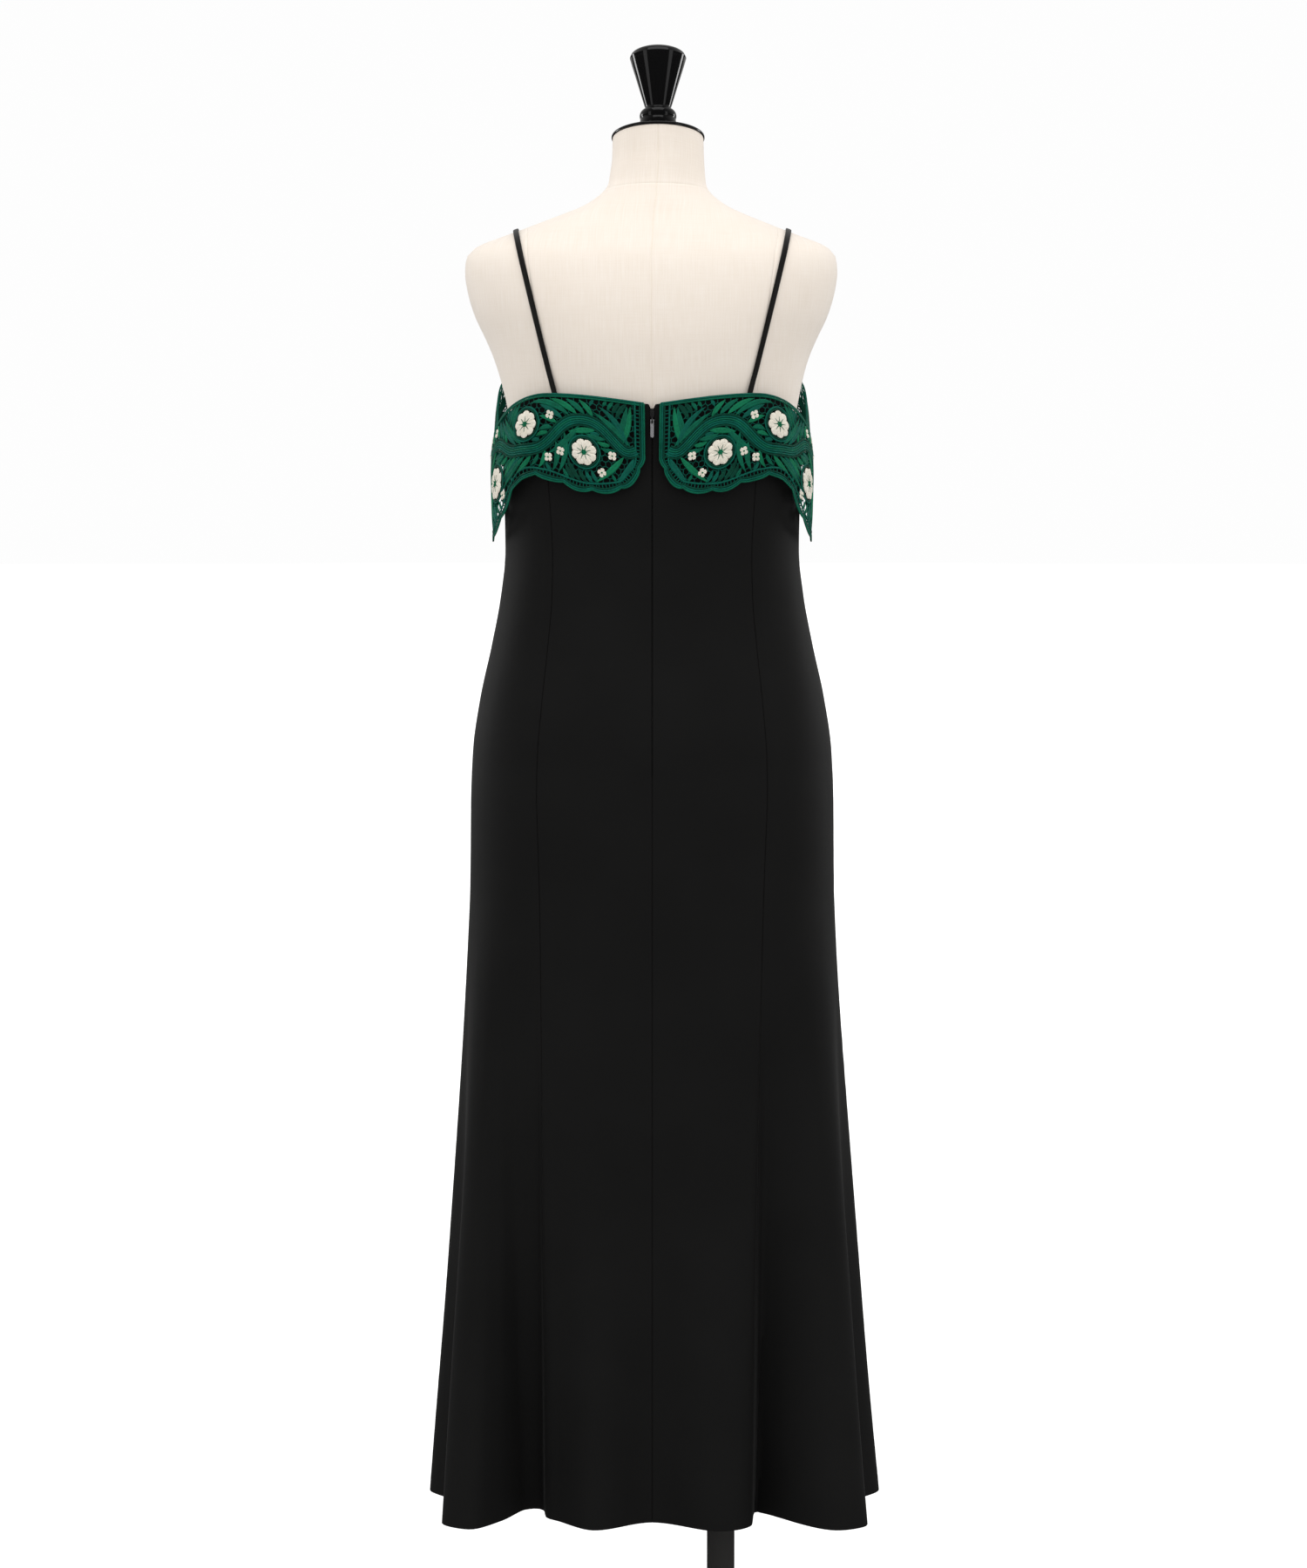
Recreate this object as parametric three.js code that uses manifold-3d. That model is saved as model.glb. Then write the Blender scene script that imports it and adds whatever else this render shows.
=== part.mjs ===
// Long black slip dress with a lace flounce, worn by a limbless dress form on a stand.
// Millimetres, +Z up. The floor is z = 0 and the origin is the middle of the stand's underside.
// The front of the dress faces -Y, its back faces +Y, and the wearer's left is +X.
import * as THREE from "three";
import { mergeVertices } from "three/addons/utils/BufferGeometryUtils.js";
import Module from "manifold-3d";

// ---------------------------------------------------------------- driving dimensions
const WALL = 1.6; // cloth wall, crepe with its seam allowances pressed behind it
const LACE_WALL = 1.6; // heavy corded lace
const SEAM = 0.3; // gap between neighbouring pieces
const HEM_Z = 190; // the hem is level, this far above the floor
const FLARE_Z = 820; // the gores start to flare here, just below the hip
const FLARE_POWER = 1.06; // how the whole skirt widens, nearly a straight cone
const FOLD_POWER = 1.5; // the folds deepen faster than the skirt widens
const STRAP = { width: 6.6, thick: 1.8, clear: 1.1, tuck: 11, behind: 0.9, steps: 30 };
const ZIP = { foot: 935, top: 1300, tape: 11, thick: 1.0 };
const PULL = { z: 1304.5, reach: 17, width: 3.4, thick: 1.3, pin: 0.85, hole: 3.35 };
const NECK_TILT = 12.4; // degrees, the cut of the neck is higher at the back
const CAP = { thick: 3.6, over: 1.2, dome: 6.4 };
const POLE = { x: -72, y: 0, radius: 14.5 };
const BASE = { radius: 180, thick: 9, collar: 24, collarHigh: 30 };

// Outside of the dress: where it is measured, half width, reach to the back and to the front,
// and how square the section is (2 is an ellipse).
const DRESS = [
  { at: "front peaks", z: 1372, half: 164, back: 113, front: 135, square: 2.25 },
  { at: "strap edge", z: 1340, half: 160.5, back: 110, front: 140.5, square: 2.25 },
  { at: "back edge", z: 1318, half: 157.5, back: 107, front: 143.5, square: 2.25 },
  { at: "bust", z: 1296, half: 155, back: 104, front: 143, square: 2.25 },
  { at: "under bust", z: 1240, half: 151.8, back: 97.5, front: 134, square: 2.2 },
  { at: "narrowest", z: 1175, half: 150.4, back: 93.5, front: 119, square: 2.2 },
  { at: "waist", z: 1130, half: 155, back: 95, front: 114, square: 2.2 },
  { at: "high hip", z: 1077, half: 165, back: 102, front: 114, square: 2.2 },
  { at: "upper hip", z: 1023, half: 177, back: 111, front: 115, square: 2.2 },
  { at: "hip", z: 969, half: 184.8, back: 119, front: 115, square: 2.2 },
  { at: "seat", z: 915, half: 187, back: 122.5, front: 114, square: 2.2 },
  { at: "below seat", z: 860, half: 187.4, back: 122, front: 113, square: 2.22 },
  { at: "flare", z: FLARE_Z, half: 188, back: 121.5, front: 113, square: 2.25 },
];
const HEM = { half: 222, back: 130, front: 127, square: 3.0 }; // the hem without its folds

// The gore seams go round the dress in steps of 1: 0 centre back, 4 centre front, 8 centre back.
// Degrees round from the back, at five heights.
const SEAM_HEIGHTS = { top: 1330, ribs: 1200, hip: 985, knee: 636, hem: HEM_Z };
const SEAMS = [
  { seam: "centre back", s: 0, top: 0, ribs: 0, hip: 0, knee: 0, hem: 0 },
  { seam: "left back princess", s: 1, top: 54.5, ribs: 54, hip: 50, knee: 46, hem: 41.5 },
  { seam: "left side", s: 2, top: 92, ribs: 92, hip: 91, knee: 90, hem: 89 },
  { seam: "left front princess", s: 3, top: 129, ribs: 128, hip: 131, knee: 134, hem: 137 },
  { seam: "centre front line", s: 4, top: 180, ribs: 180, hip: 180, knee: 180, hem: 180 },
  { seam: "right front princess", s: 5, top: 231, ribs: 232, hip: 229, knee: 226, hem: 223 },
  { seam: "right side", s: 6, top: 268, ribs: 268, hip: 269, knee: 270, hem: 271 },
  { seam: "right back princess", s: 7, top: 305.5, ribs: 306, hip: 310, knee: 315, hem: 319.5 },
  { seam: "centre back again", s: 8, top: 360, ribs: 360, hip: 360, knee: 360, hem: 360 },
];

// Folds of the hem, seen from above: a row for each crest and each valley.
const FOLDS = [
  { fold: "centre back dip", s: 0, x: 0, y: 122 },
  { fold: "left back crest", s: 0.5, x: 58, y: 149.5 },
  { fold: "left back slope", s: 0.86, x: 96, y: 117 },
  { fold: "left fold lip", s: 0.99, x: 108.5, y: 103 },
  { fold: "left valley edge", s: 1.04, x: 111.5, y: 80 },
  { fold: "left back valley", s: 1.13, x: 119, y: 73 },
  { fold: "left valley foot", s: 1.22, x: 129, y: 76 },
  { fold: "left valley wall", s: 1.36, x: 153, y: 117 },
  { fold: "left corner crest", s: 1.5, x: 184, y: 146 },
  { fold: "left corner edge", s: 1.62, x: 214, y: 124 },
  { fold: "left side valley", s: 1.8, x: 199, y: 60 },
  { fold: "left side crest", s: 2.02, x: 233, y: 4 },
  { fold: "left front side valley", s: 2.28, x: 202, y: -54 },
  { fold: "left front corner crest", s: 2.56, x: 196, y: -122 },
  { fold: "left front valley", s: 2.9, x: 128, y: -92 },
  { fold: "left front crest", s: 3.45, x: 66, y: -149 },
  { fold: "centre front dip", s: 4, x: -2, y: -132 },
  { fold: "right front crest", s: 4.48, x: -60, y: -152 },
  { fold: "right front valley", s: 5.08, x: -122, y: -96 },
  { fold: "right front corner crest", s: 5.42, x: -192, y: -127 },
  { fold: "right front side valley", s: 5.73, x: -204, y: -60 },
  { fold: "right side crest", s: 5.98, x: -238, y: 3 },
  { fold: "right side valley", s: 6.2, x: -202, y: 62 },
  { fold: "right corner edge", s: 6.38, x: -219, y: 129 },
  { fold: "right corner crest", s: 6.52, x: -187, y: 149.5 },
  { fold: "right valley wall", s: 6.87, x: -114, y: 90 },
  { fold: "right back valley", s: 6.935, x: -106, y: 84 },
  { fold: "right valley edge", s: 6.975, x: -103.5, y: 96 },
  { fold: "right fold lip", s: 7.03, x: -100.5, y: 133 },
  { fold: "right back crest", s: 7.42, x: -66, y: 152 },
];

// Upper edge of the dress, from the centre back round to the centre front; both sides alike.
// At the front the lace stands above the cloth, by as much as dip says.
const EDGE = [
  { at: "centre back", s: 0, z: 1320, dip: 0 },
  { at: "back strap", s: 0.9, z: 1331, dip: 0 },
  { at: "underarm", s: 1.95, z: 1297, dip: 0 },
  { at: "front of the armhole", s: 2.45, z: 1343, dip: 42 },
  { at: "front strap", s: 2.95, z: 1370, dip: 55 },
  { at: "centre front", s: 4, z: 1342, dip: 20 },
];

// The two centre back gores part above the zip's slider: how far each stands back, at four heights.
const NOTCH = [
  { at: "edge", z: 1320, wide: 3.4 },
  { at: "foot of the v", z: 1316.2, wide: 1.7 },
  { at: "below the pin", z: 1300, wide: 1.25 },
  { at: "closed", z: 1288, wide: 0 },
];

// Lace flounce: how far it hangs, how far its lower edge stands off the dress, and how soon it does.
const FLOUNCE = [
  { at: "beside the zip", s: 0.07, drop: 66, stand: 5, roll: 2.4 },
  { at: "rounded corner", s: 0.3, drop: 92, stand: 7, roll: 2.4 },
  { at: "back", s: 0.6, drop: 98, stand: 8.5, roll: 2.4 },
  { at: "back strap", s: 1.0, drop: 85, stand: 9.5, roll: 2.6 },
  { at: "before the point", s: 1.2, drop: 79, stand: 10.5, roll: 3 },
  { at: "back of the point", s: 1.55, drop: 106, stand: 11.5, roll: 4.5 },
  { at: "side point", s: 1.88, drop: 116, stand: 11.8, roll: 6 },
  { at: "front of the point", s: 2.3, drop: 108, stand: 11, roll: 4.5 },
  { at: "front strap", s: 2.95, drop: 116, stand: 9.5, roll: 2.6 },
  { at: "front", s: 3.5, drop: 112, stand: 8.5, roll: 2.4 },
  { at: "centre front", s: 4, drop: 92, stand: 8, roll: 2.4 },
];

// The form: shift is how far its middle line leans sideways, line is the y of its widest points.
const FORM = [
  { at: "neck top", z: 1597, shift: -6, line: -18, half: 46.4, back: 48, front: 50, square: 2 },
  { at: "neck", z: 1576, shift: -6, line: -16, half: 47, back: 48, front: 50, square: 2 },
  { at: "low neck", z: 1560, shift: -5.5, line: -13, half: 48.4, back: 48.5, front: 52, square: 2 },
  { at: "neck base", z: 1547, shift: -5, line: -11, half: 50.2, back: 50, front: 56, square: 2 },
  { at: "neck foot", z: 1539, shift: -4.3, line: -10, half: 55, back: 52.5, front: 62, square: 2 },
  { at: "neck slope", z: 1530.5, shift: -3.8, line: -9, half: 64.5, back: 56.5, front: 69, square: 2 },
  { at: "shoulder rise", z: 1522.5, shift: -3, line: -8, half: 77.5, back: 61, front: 74, square: 2.02 },
  { at: "inner shoulder", z: 1515, shift: -1.6, line: -7.5, half: 95.5, back: 66, front: 78.5, square: 2.06 },
  { at: "middle shoulder", z: 1507, shift: -1, line: -7, half: 116, back: 71.5, front: 83, square: 2.1 },
  { at: "strap shoulder", z: 1499, shift: -0.6, line: -6, half: 136.5, back: 77, front: 87, square: 2.15 },
  { at: "outer shoulder", z: 1491, shift: -0.3, line: -5, half: 158, back: 82, front: 90.5, square: 2.2 },
  { at: "shoulder round", z: 1484.5, shift: 0, line: -4, half: 174.5, back: 85.5, front: 93.5, square: 2.25 },
  { at: "shoulder edge", z: 1477, shift: 0.6, line: -2, half: 185.5, back: 89.5, front: 96.5, square: 2.3 },
  { at: "shoulder point", z: 1468, shift: 1, line: -1, half: 189, back: 93.5, front: 100, square: 2.32 },
  { at: "widest", z: 1456, shift: 1, line: 0, half: 189.8, back: 97.5, front: 103.5, square: 2.35 },
  { at: "shoulder blade", z: 1436, shift: 1, line: 0, half: 187, back: 103, front: 109.5, square: 2.35 },
  { at: "armhole", z: 1412, shift: 1, line: 0, half: 179.8, back: 106.5, front: 117, square: 2.33 },
  { at: "low armhole", z: 1390, shift: 1, line: 0, half: 169.4, back: 107.5, front: 123, square: 2.3 },
  { at: "armpit", z: 1370, shift: 1, line: 0, half: 161, back: 106, front: 124, square: 2.3 },
  { at: "chest", z: 1350, shift: 0.6, line: 0, half: 155, back: 103.5, front: 127.5, square: 2.28 },
  { at: "upper bust", z: 1320, shift: 0, line: 0, half: 148.4, back: 99.5, front: 132, square: 2.25 },
  { at: "bust", z: 1294, shift: 0, line: 0, half: 144.5, back: 96, front: 134.5, square: 2.22 },
  { at: "under bust", z: 1250, shift: 0, line: 0, half: 140, back: 90.5, front: 126, square: 2.2 },
  { at: "ribs", z: 1205, shift: 0, line: 0, half: 134, back: 85.5, front: 110, square: 2.15 },
  { at: "high waist", z: 1160, shift: 0, line: 0, half: 127, back: 83, front: 98, square: 2.12 },
  { at: "waist", z: 1122, shift: 0, line: 0, half: 125, back: 84, front: 93, square: 2.1 },
  { at: "high hip", z: 1075, shift: 0, line: 0, half: 138, back: 91.5, front: 95, square: 2.1 },
  { at: "upper hip", z: 1022, shift: 0, line: 0, half: 160, back: 103, front: 101, square: 2.12 },
  { at: "hip", z: 965, shift: 0, line: 0, half: 174.5, back: 112.5, front: 103, square: 2.15 },
  { at: "seat", z: 912, shift: 0, line: 0, half: 179.5, back: 116, front: 101, square: 2.2 },
  { at: "lower edge", z: 862, shift: 0, line: 0, half: 178.5, back: 112, front: 97, square: 2.25 },
  { at: "edge round", z: 836, shift: 0, line: 0, half: 174, back: 107, front: 93, square: 2.3 },
  { at: "underside", z: 826, shift: 0, line: 0, half: 164, back: 98, front: 85, square: 2.3 },
];
const FORM_STEPS = 40; // columns round the form

// Heights at which the gores are laid out below the bust, and columns across each gore.
const ROWS = [1262, 1222, 1178, 1130, 1075, 1020, 965, 905, 840, 770, 695, 620, 545, 465, 385, 305, 240, HEM_Z];
const GORES = [
  { name: "dress_centre_back_left", from: 0, to: 1, columns: 8 },
  { name: "dress_side_back_left", from: 1, to: 2, columns: 13 },
  { name: "dress_side_front_left", from: 2, to: 3, columns: 11 },
  { name: "dress_centre_front", from: 3, to: 5, columns: 14 },
  { name: "dress_side_front_right", from: 5, to: 6, columns: 11 },
  { name: "dress_side_back_right", from: 6, to: 7, columns: 13 },
  { name: "dress_centre_back_right", from: 7, to: 8, columns: 8 },
];
const LACES = [
  { name: "lace_back_left", from: 0.07, to: 2, columns: 14 },
  { name: "lace_front", from: 2, to: 6, columns: 30 },
  { name: "lace_back_right", from: 6, to: 7.93, columns: 14 },
];
const LACE_ROWS = 5;

// ---------------------------------------------------------------- materials
const cloth = (color, roughness) =>
  new THREE.MeshStandardMaterial({ color, roughness, metalness: 0, side: THREE.DoubleSide });
const CREPE = cloth(0x1b1a1b, 0.62);
const SATIN = cloth(0x1d1c1d, 0.45);
const LACE = cloth(0x0c6148, 0.7);
const TAPE = cloth(0x161616, 0.8);
const LINEN = cloth(0xeee6da, 0.85);
const GLOSS = new THREE.MeshStandardMaterial({ color: 0x0a0a0a, roughness: 0.12, metalness: 0 });
const ZINC = new THREE.MeshStandardMaterial({ color: 0x55565a, roughness: 0.3, metalness: 1 });
const STEEL = new THREE.MeshStandardMaterial({ color: 0x2c2d2f, roughness: 0.4, metalness: 0.6 });

// ---------------------------------------------------------------- curves through tables
const clamp = (v, a, b) => Math.min(b, Math.max(a, v));
const DEG = Math.PI / 180;

// Smooth curve through (x, y) pairs that never swings past them.
function through(xs, ys) {
  const n = xs.length;
  const slope = [];
  const gap = [];
  for (let i = 0; i < n - 1; i++) {
    gap.push(xs[i + 1] - xs[i]);
    slope.push((ys[i + 1] - ys[i]) / gap[i]);
  }
  const m = [slope[0]];
  for (let i = 1; i < n - 1; i++) {
    if (slope[i - 1] * slope[i] <= 0) m.push(0);
    else {
      const w1 = 2 * gap[i] + gap[i - 1];
      const w2 = gap[i] + 2 * gap[i - 1];
      m.push((w1 + w2) / (w1 / slope[i - 1] + w2 / slope[i]));
    }
  }
  m.push(slope[n - 2]);
  return (x) => {
    let i = 0;
    while (i < n - 2 && x > xs[i + 1]) i++;
    const h = gap[i];
    const t = clamp((x - xs[i]) / h, 0, 1);
    const a = 1 - t;
    return (
      ys[i] * a * a * (1 + 2 * t) +
      ys[i + 1] * t * t * (1 + 2 * a) +
      h * (m[i] * t * a * a - m[i + 1] * a * t * t)
    );
  };
}

// One curve for each named column of a table, over the column called key.
function curves(rows, key, columns) {
  const sorted = [...rows].sort((p, q) => p[key] - q[key]);
  const at = sorted.map((row) => row[key]);
  return Object.fromEntries(columns.map((c) => [c, through(at, sorted.map((row) => row[c]))]));
}

const dressAt = curves(DRESS, "z", ["half", "back", "front", "square"]);
const formAt = curves(FORM, "z", ["shift", "line", "half", "back", "front", "square"]);
const mirrored = (rows) => [...rows, ...rows.slice(0, -1).reverse().map((r) => ({ ...r, s: 8 - r.s }))];
const edgeAt = curves(mirrored(EDGE), "s", ["z", "dip"]);
const clothEdge = (s) => edgeAt.z(s) - edgeAt.dip(s);
const notchAt = curves(NOTCH, "z", ["wide"]).wide;
const flounceAt = curves(mirrored(FLOUNCE), "s", ["drop", "stand", "roll"]);
const around = [
  ...FOLDS.slice(-4).map((r) => ({ ...r, s: r.s - 8 })),
  ...FOLDS,
  ...FOLDS.slice(0, 4).map((r) => ({ ...r, s: r.s + 8 })),
];
const foldAt = curves(around, "s", ["x", "y"]);

// Degrees round from the back at gore position s and height z.
const heightNames = Object.keys(SEAM_HEIGHTS).sort((p, q) => SEAM_HEIGHTS[p] - SEAM_HEIGHTS[q]);
const seamAngle = SEAMS.map((row) =>
  through(heightNames.map((h) => SEAM_HEIGHTS[h]), heightNames.map((h) => row[h])),
);
function angleAt(s, z) {
  return through(SEAMS.map((row) => row.s), seamAngle.map((f) => f(z)))(s) * DEG;
}

// Point of a squared ellipse in the direction of angle, measured from the back.
function squared(angle, half, back, front, square) {
  const x = Math.sin(angle);
  const y = Math.cos(angle);
  const deep = y > 0 ? back : front;
  const r = (Math.abs(x / half) ** square + Math.abs(y / deep) ** square) ** (-1 / square);
  return [r * x, r * y];
}

// ---------------------------------------------------------------- the dress surface
function dressXY(s, z) {
  const angle = angleAt(s, z);
  const zz = Math.max(z, FLARE_Z);
  const body = squared(angle, dressAt.half(zz), dressAt.back(zz), dressAt.front(zz), dressAt.square(zz));
  if (z >= FLARE_Z) return body;
  const down = (FLARE_Z - z) / (FLARE_Z - HEM_Z);
  const wide = down ** FLARE_POWER;
  const fold = down ** FOLD_POWER;
  const hem = squared(angleAt(s, HEM_Z), HEM.half, HEM.back, HEM.front, HEM.square);
  const hip = squared(angleAt(s, HEM_Z), dressAt.half(FLARE_Z), dressAt.back(FLARE_Z), dressAt.front(FLARE_Z), dressAt.square(FLARE_Z));
  const plan = [foldAt.x(s), foldAt.y(s)];
  return [0, 1].map((i) => body[i] + wide * (hem[i] - hip[i]) + fold * (plan[i] - hem[i]));
}

// Outer point and outward normal of the dress at gore position s and height z.
function dressPoint(s, z) {
  const e = 0.004;
  const [x, y] = dressXY(s, z);
  const a = dressXY(s - e < 0 ? s - e + 8 : s - e, z);
  const b = dressXY(s + e > 8 ? s + e - 8 : s + e, z);
  const up = dressXY(s, z + 1);
  const low = dressXY(s, z - 1);
  const along = new THREE.Vector3(b[0] - a[0], b[1] - a[1], 0);
  const rise = new THREE.Vector3(up[0] - low[0], up[1] - low[1], 2);
  const normal = new THREE.Vector3().crossVectors(rise, along).normalize();
  return { p: new THREE.Vector3(x, y, z), normal };
}

// ---------------------------------------------------------------- solids from grids
function meshFrom(positions, index, name, material) {
  let g = new THREE.BufferGeometry();
  g.setAttribute("position", new THREE.Float32BufferAttribute(positions, 3));
  g.setIndex(index);
  let volume = 0;
  const a = new THREE.Vector3();
  const b = new THREE.Vector3();
  const c = new THREE.Vector3();
  for (let i = 0; i < index.length; i += 3) {
    a.fromArray(positions, index[i] * 3);
    b.fromArray(positions, index[i + 1] * 3);
    c.fromArray(positions, index[i + 2] * 3);
    volume += a.dot(b.cross(c));
  }
  if (volume < 0) {
    for (let i = 0; i < index.length; i += 3) [index[i + 1], index[i + 2]] = [index[i + 2], index[i + 1]];
    g.setIndex(index);
  }
  g.computeVertexNormals();
  const mesh = new THREE.Mesh(g, material);
  mesh.name = name;
  return mesh;
}

// A wall between an outer and an inner grid of points, closed along its four borders.
function wall(outer, inner, name, material) {
  const rows = outer.length;
  const cols = outer[0].length;
  const positions = [];
  for (const grid of [outer, inner]) for (const row of grid) for (const p of row) positions.push(p.x, p.y, p.z);
  const id = (side, r, c) => side * rows * cols + r * cols + c;
  const index = [];
  const quad = (a, b, c, d) => index.push(a, b, c, a, c, d);
  for (let r = 0; r < rows - 1; r++)
    for (let c = 0; c < cols - 1; c++) {
      quad(id(0, r, c), id(0, r, c + 1), id(0, r + 1, c + 1), id(0, r + 1, c));
      quad(id(1, r, c), id(1, r + 1, c), id(1, r + 1, c + 1), id(1, r, c + 1));
    }
  for (let c = 0; c < cols - 1; c++) {
    quad(id(0, 0, c + 1), id(0, 0, c), id(1, 0, c), id(1, 0, c + 1));
    quad(id(0, rows - 1, c), id(0, rows - 1, c + 1), id(1, rows - 1, c + 1), id(1, rows - 1, c));
  }
  for (let r = 0; r < rows - 1; r++) {
    quad(id(0, r, 0), id(0, r + 1, 0), id(1, r + 1, 0), id(1, r, 0));
    quad(id(0, r + 1, cols - 1), id(0, r, cols - 1), id(1, r, cols - 1), id(1, r + 1, cols - 1));
  }
  return meshFrom(positions, index, name, material);
}

// A closed tube of rings with a fan at each end.
function rings(list, name, material) {
  const n = list[0].length;
  const positions = [];
  for (const ring of list) for (const p of ring) positions.push(p.x, p.y, p.z);
  const centre = (ring) => ring.reduce((t, p) => t.add(p), new THREE.Vector3()).multiplyScalar(1 / n);
  const first = centre(list[0]);
  const last = centre(list[list.length - 1]);
  positions.push(first.x, first.y, first.z, last.x, last.y, last.z);
  const a = list.length * n;
  const index = [];
  for (let r = 0; r < list.length - 1; r++)
    for (let c = 0; c < n; c++) {
      const d = (c + 1) % n;
      index.push(r * n + c, r * n + d, (r + 1) * n + d, r * n + c, (r + 1) * n + d, (r + 1) * n + c);
    }
  for (let c = 0; c < n; c++) {
    const d = (c + 1) % n;
    index.push(a, d, c, a + 1, (list.length - 1) * n + c, (list.length - 1) * n + d);
  }
  return meshFrom(positions, index, name, material);
}

// ---------------------------------------------------------------- gores
const grids = {}; // the points of each gore, for what lies on it
function gore({ name, from, to, columns }) {
  const top = NOTCH[0].z;
  const outer = [];
  const inner = [];
  const count = ROWS.length + NOTCH.length;
  for (let r = 0; r < count; r++) {
    const o = [];
    const i = [];
    const spots = [];
    for (let c = 0; c <= columns; c++) {
      const s = from + ((to - from) * c) / columns;
      const z =
        r < NOTCH.length
          ? ROWS[0] + ((clothEdge(s) - ROWS[0]) * (NOTCH[r].z - ROWS[0])) / (top - ROWS[0])
          : ROWS[r - NOTCH.length];
      spots.push({ s, z, ...dressPoint(s, z) });
    }
    spots.forEach((spot, c) => {
      const p = spot.p.clone();
      // Both ends of the row stop half a seam gap short, and the back opening stops at its notch.
      if (c === 0 || c === columns) {
        const next = spots[c === 0 ? 1 : columns - 1].p;
        const back = (c === 0 && from === 0) || (c === columns && to === 8);
        const short = SEAM / 2 + (back ? notchAt(spot.z) : 0);
        p.add(next.clone().sub(p).setLength(short));
      }
      o.push(p);
      i.push(p.clone().addScaledVector(spot.normal, -WALL));
    });
    outer.push(o);
    inner.push(i);
  }
  grids[name] = { outer, inner };
  return wall(outer, inner, name, CREPE);
}

// ---------------------------------------------------------------- lace flounce
const LACE_FOOT = 2.2; // the lace lies this far off the dress where it is sewn on
function lacePoint(s, v) {
  const top = edgeAt.z(s) + 1;
  const z = top - flounceAt.drop(s) * v;
  const { p, normal } = dressPoint(s, Math.min(z, edgeAt.z(s)));
  p.z = z;
  const flat = new THREE.Vector3(normal.x, normal.y, 0).normalize();
  const lift = LACE_FOOT + (flounceAt.stand(s) - LACE_FOOT) * (1 - (1 - v) ** flounceAt.roll(s));
  return { p: p.addScaledVector(flat, lift), flat };
}
function lace({ name, from, to, columns }) {
  const outer = [];
  const inner = [];
  for (let r = 0; r <= LACE_ROWS; r++) {
    const spots = [];
    for (let c = 0; c <= columns; c++) spots.push(lacePoint(from + ((to - from) * c) / columns, r / LACE_ROWS));
    const o = spots.map(({ p }, c) => {
      const q = p.clone();
      if (c === 0 || c === columns) q.add(spots[c === 0 ? 1 : columns - 1].p.clone().sub(q).setLength(SEAM / 2));
      return q;
    });
    // The wall grows outwards, so that its inside keeps clear of the gores.
    outer.push(o.map((q, c) => q.clone().addScaledVector(spots[c].flat, LACE_WALL)));
    inner.push(o);
  }
  return wall(outer, inner, name, LACE);
}

// ---------------------------------------------------------------- the form
const tilt = Math.tan(NECK_TILT * DEG);
const lean = (z) => tilt * clamp((z - 1512) / (FORM[0].z - 1512), 0, 1); // sections lean back towards the neck
function formPoint(angle, z, grow = 0) {
  const [x, y] = squared(angle, formAt.half(z) + grow, formAt.back(z) + grow, formAt.front(z) + grow, formAt.square(z));
  return new THREE.Vector3(x + formAt.shift(z), y + formAt.line(z), z + lean(z) * y);
}
function form() {
  const list = FORM.map(({ z }) =>
    Array.from({ length: FORM_STEPS }, (_, c) => formPoint((c / FORM_STEPS) * 2 * Math.PI, z)),
  );
  return rings(list, "form_torso", LINEN);
}
// Below 1 inside the form, above 1 outside it; below the neck the sections are level.
function formLevel(x, y, z) {
  const yy = y - formAt.line(z);
  const deep = yy > 0 ? formAt.back(z) : formAt.front(z);
  const n = formAt.square(z);
  return Math.abs((x - formAt.shift(z)) / formAt.half(z)) ** n + Math.abs(yy / deep) ** n;
}
function formNormal(p) {
  const e = 0.5;
  return new THREE.Vector3(
    formLevel(p.x + e, p.y, p.z) - formLevel(p.x - e, p.y, p.z),
    formLevel(p.x, p.y + e, p.z) - formLevel(p.x, p.y - e, p.z),
    formLevel(p.x, p.y, p.z + e) - formLevel(p.x, p.y, p.z - e),
  ).normalize();
}

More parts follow.
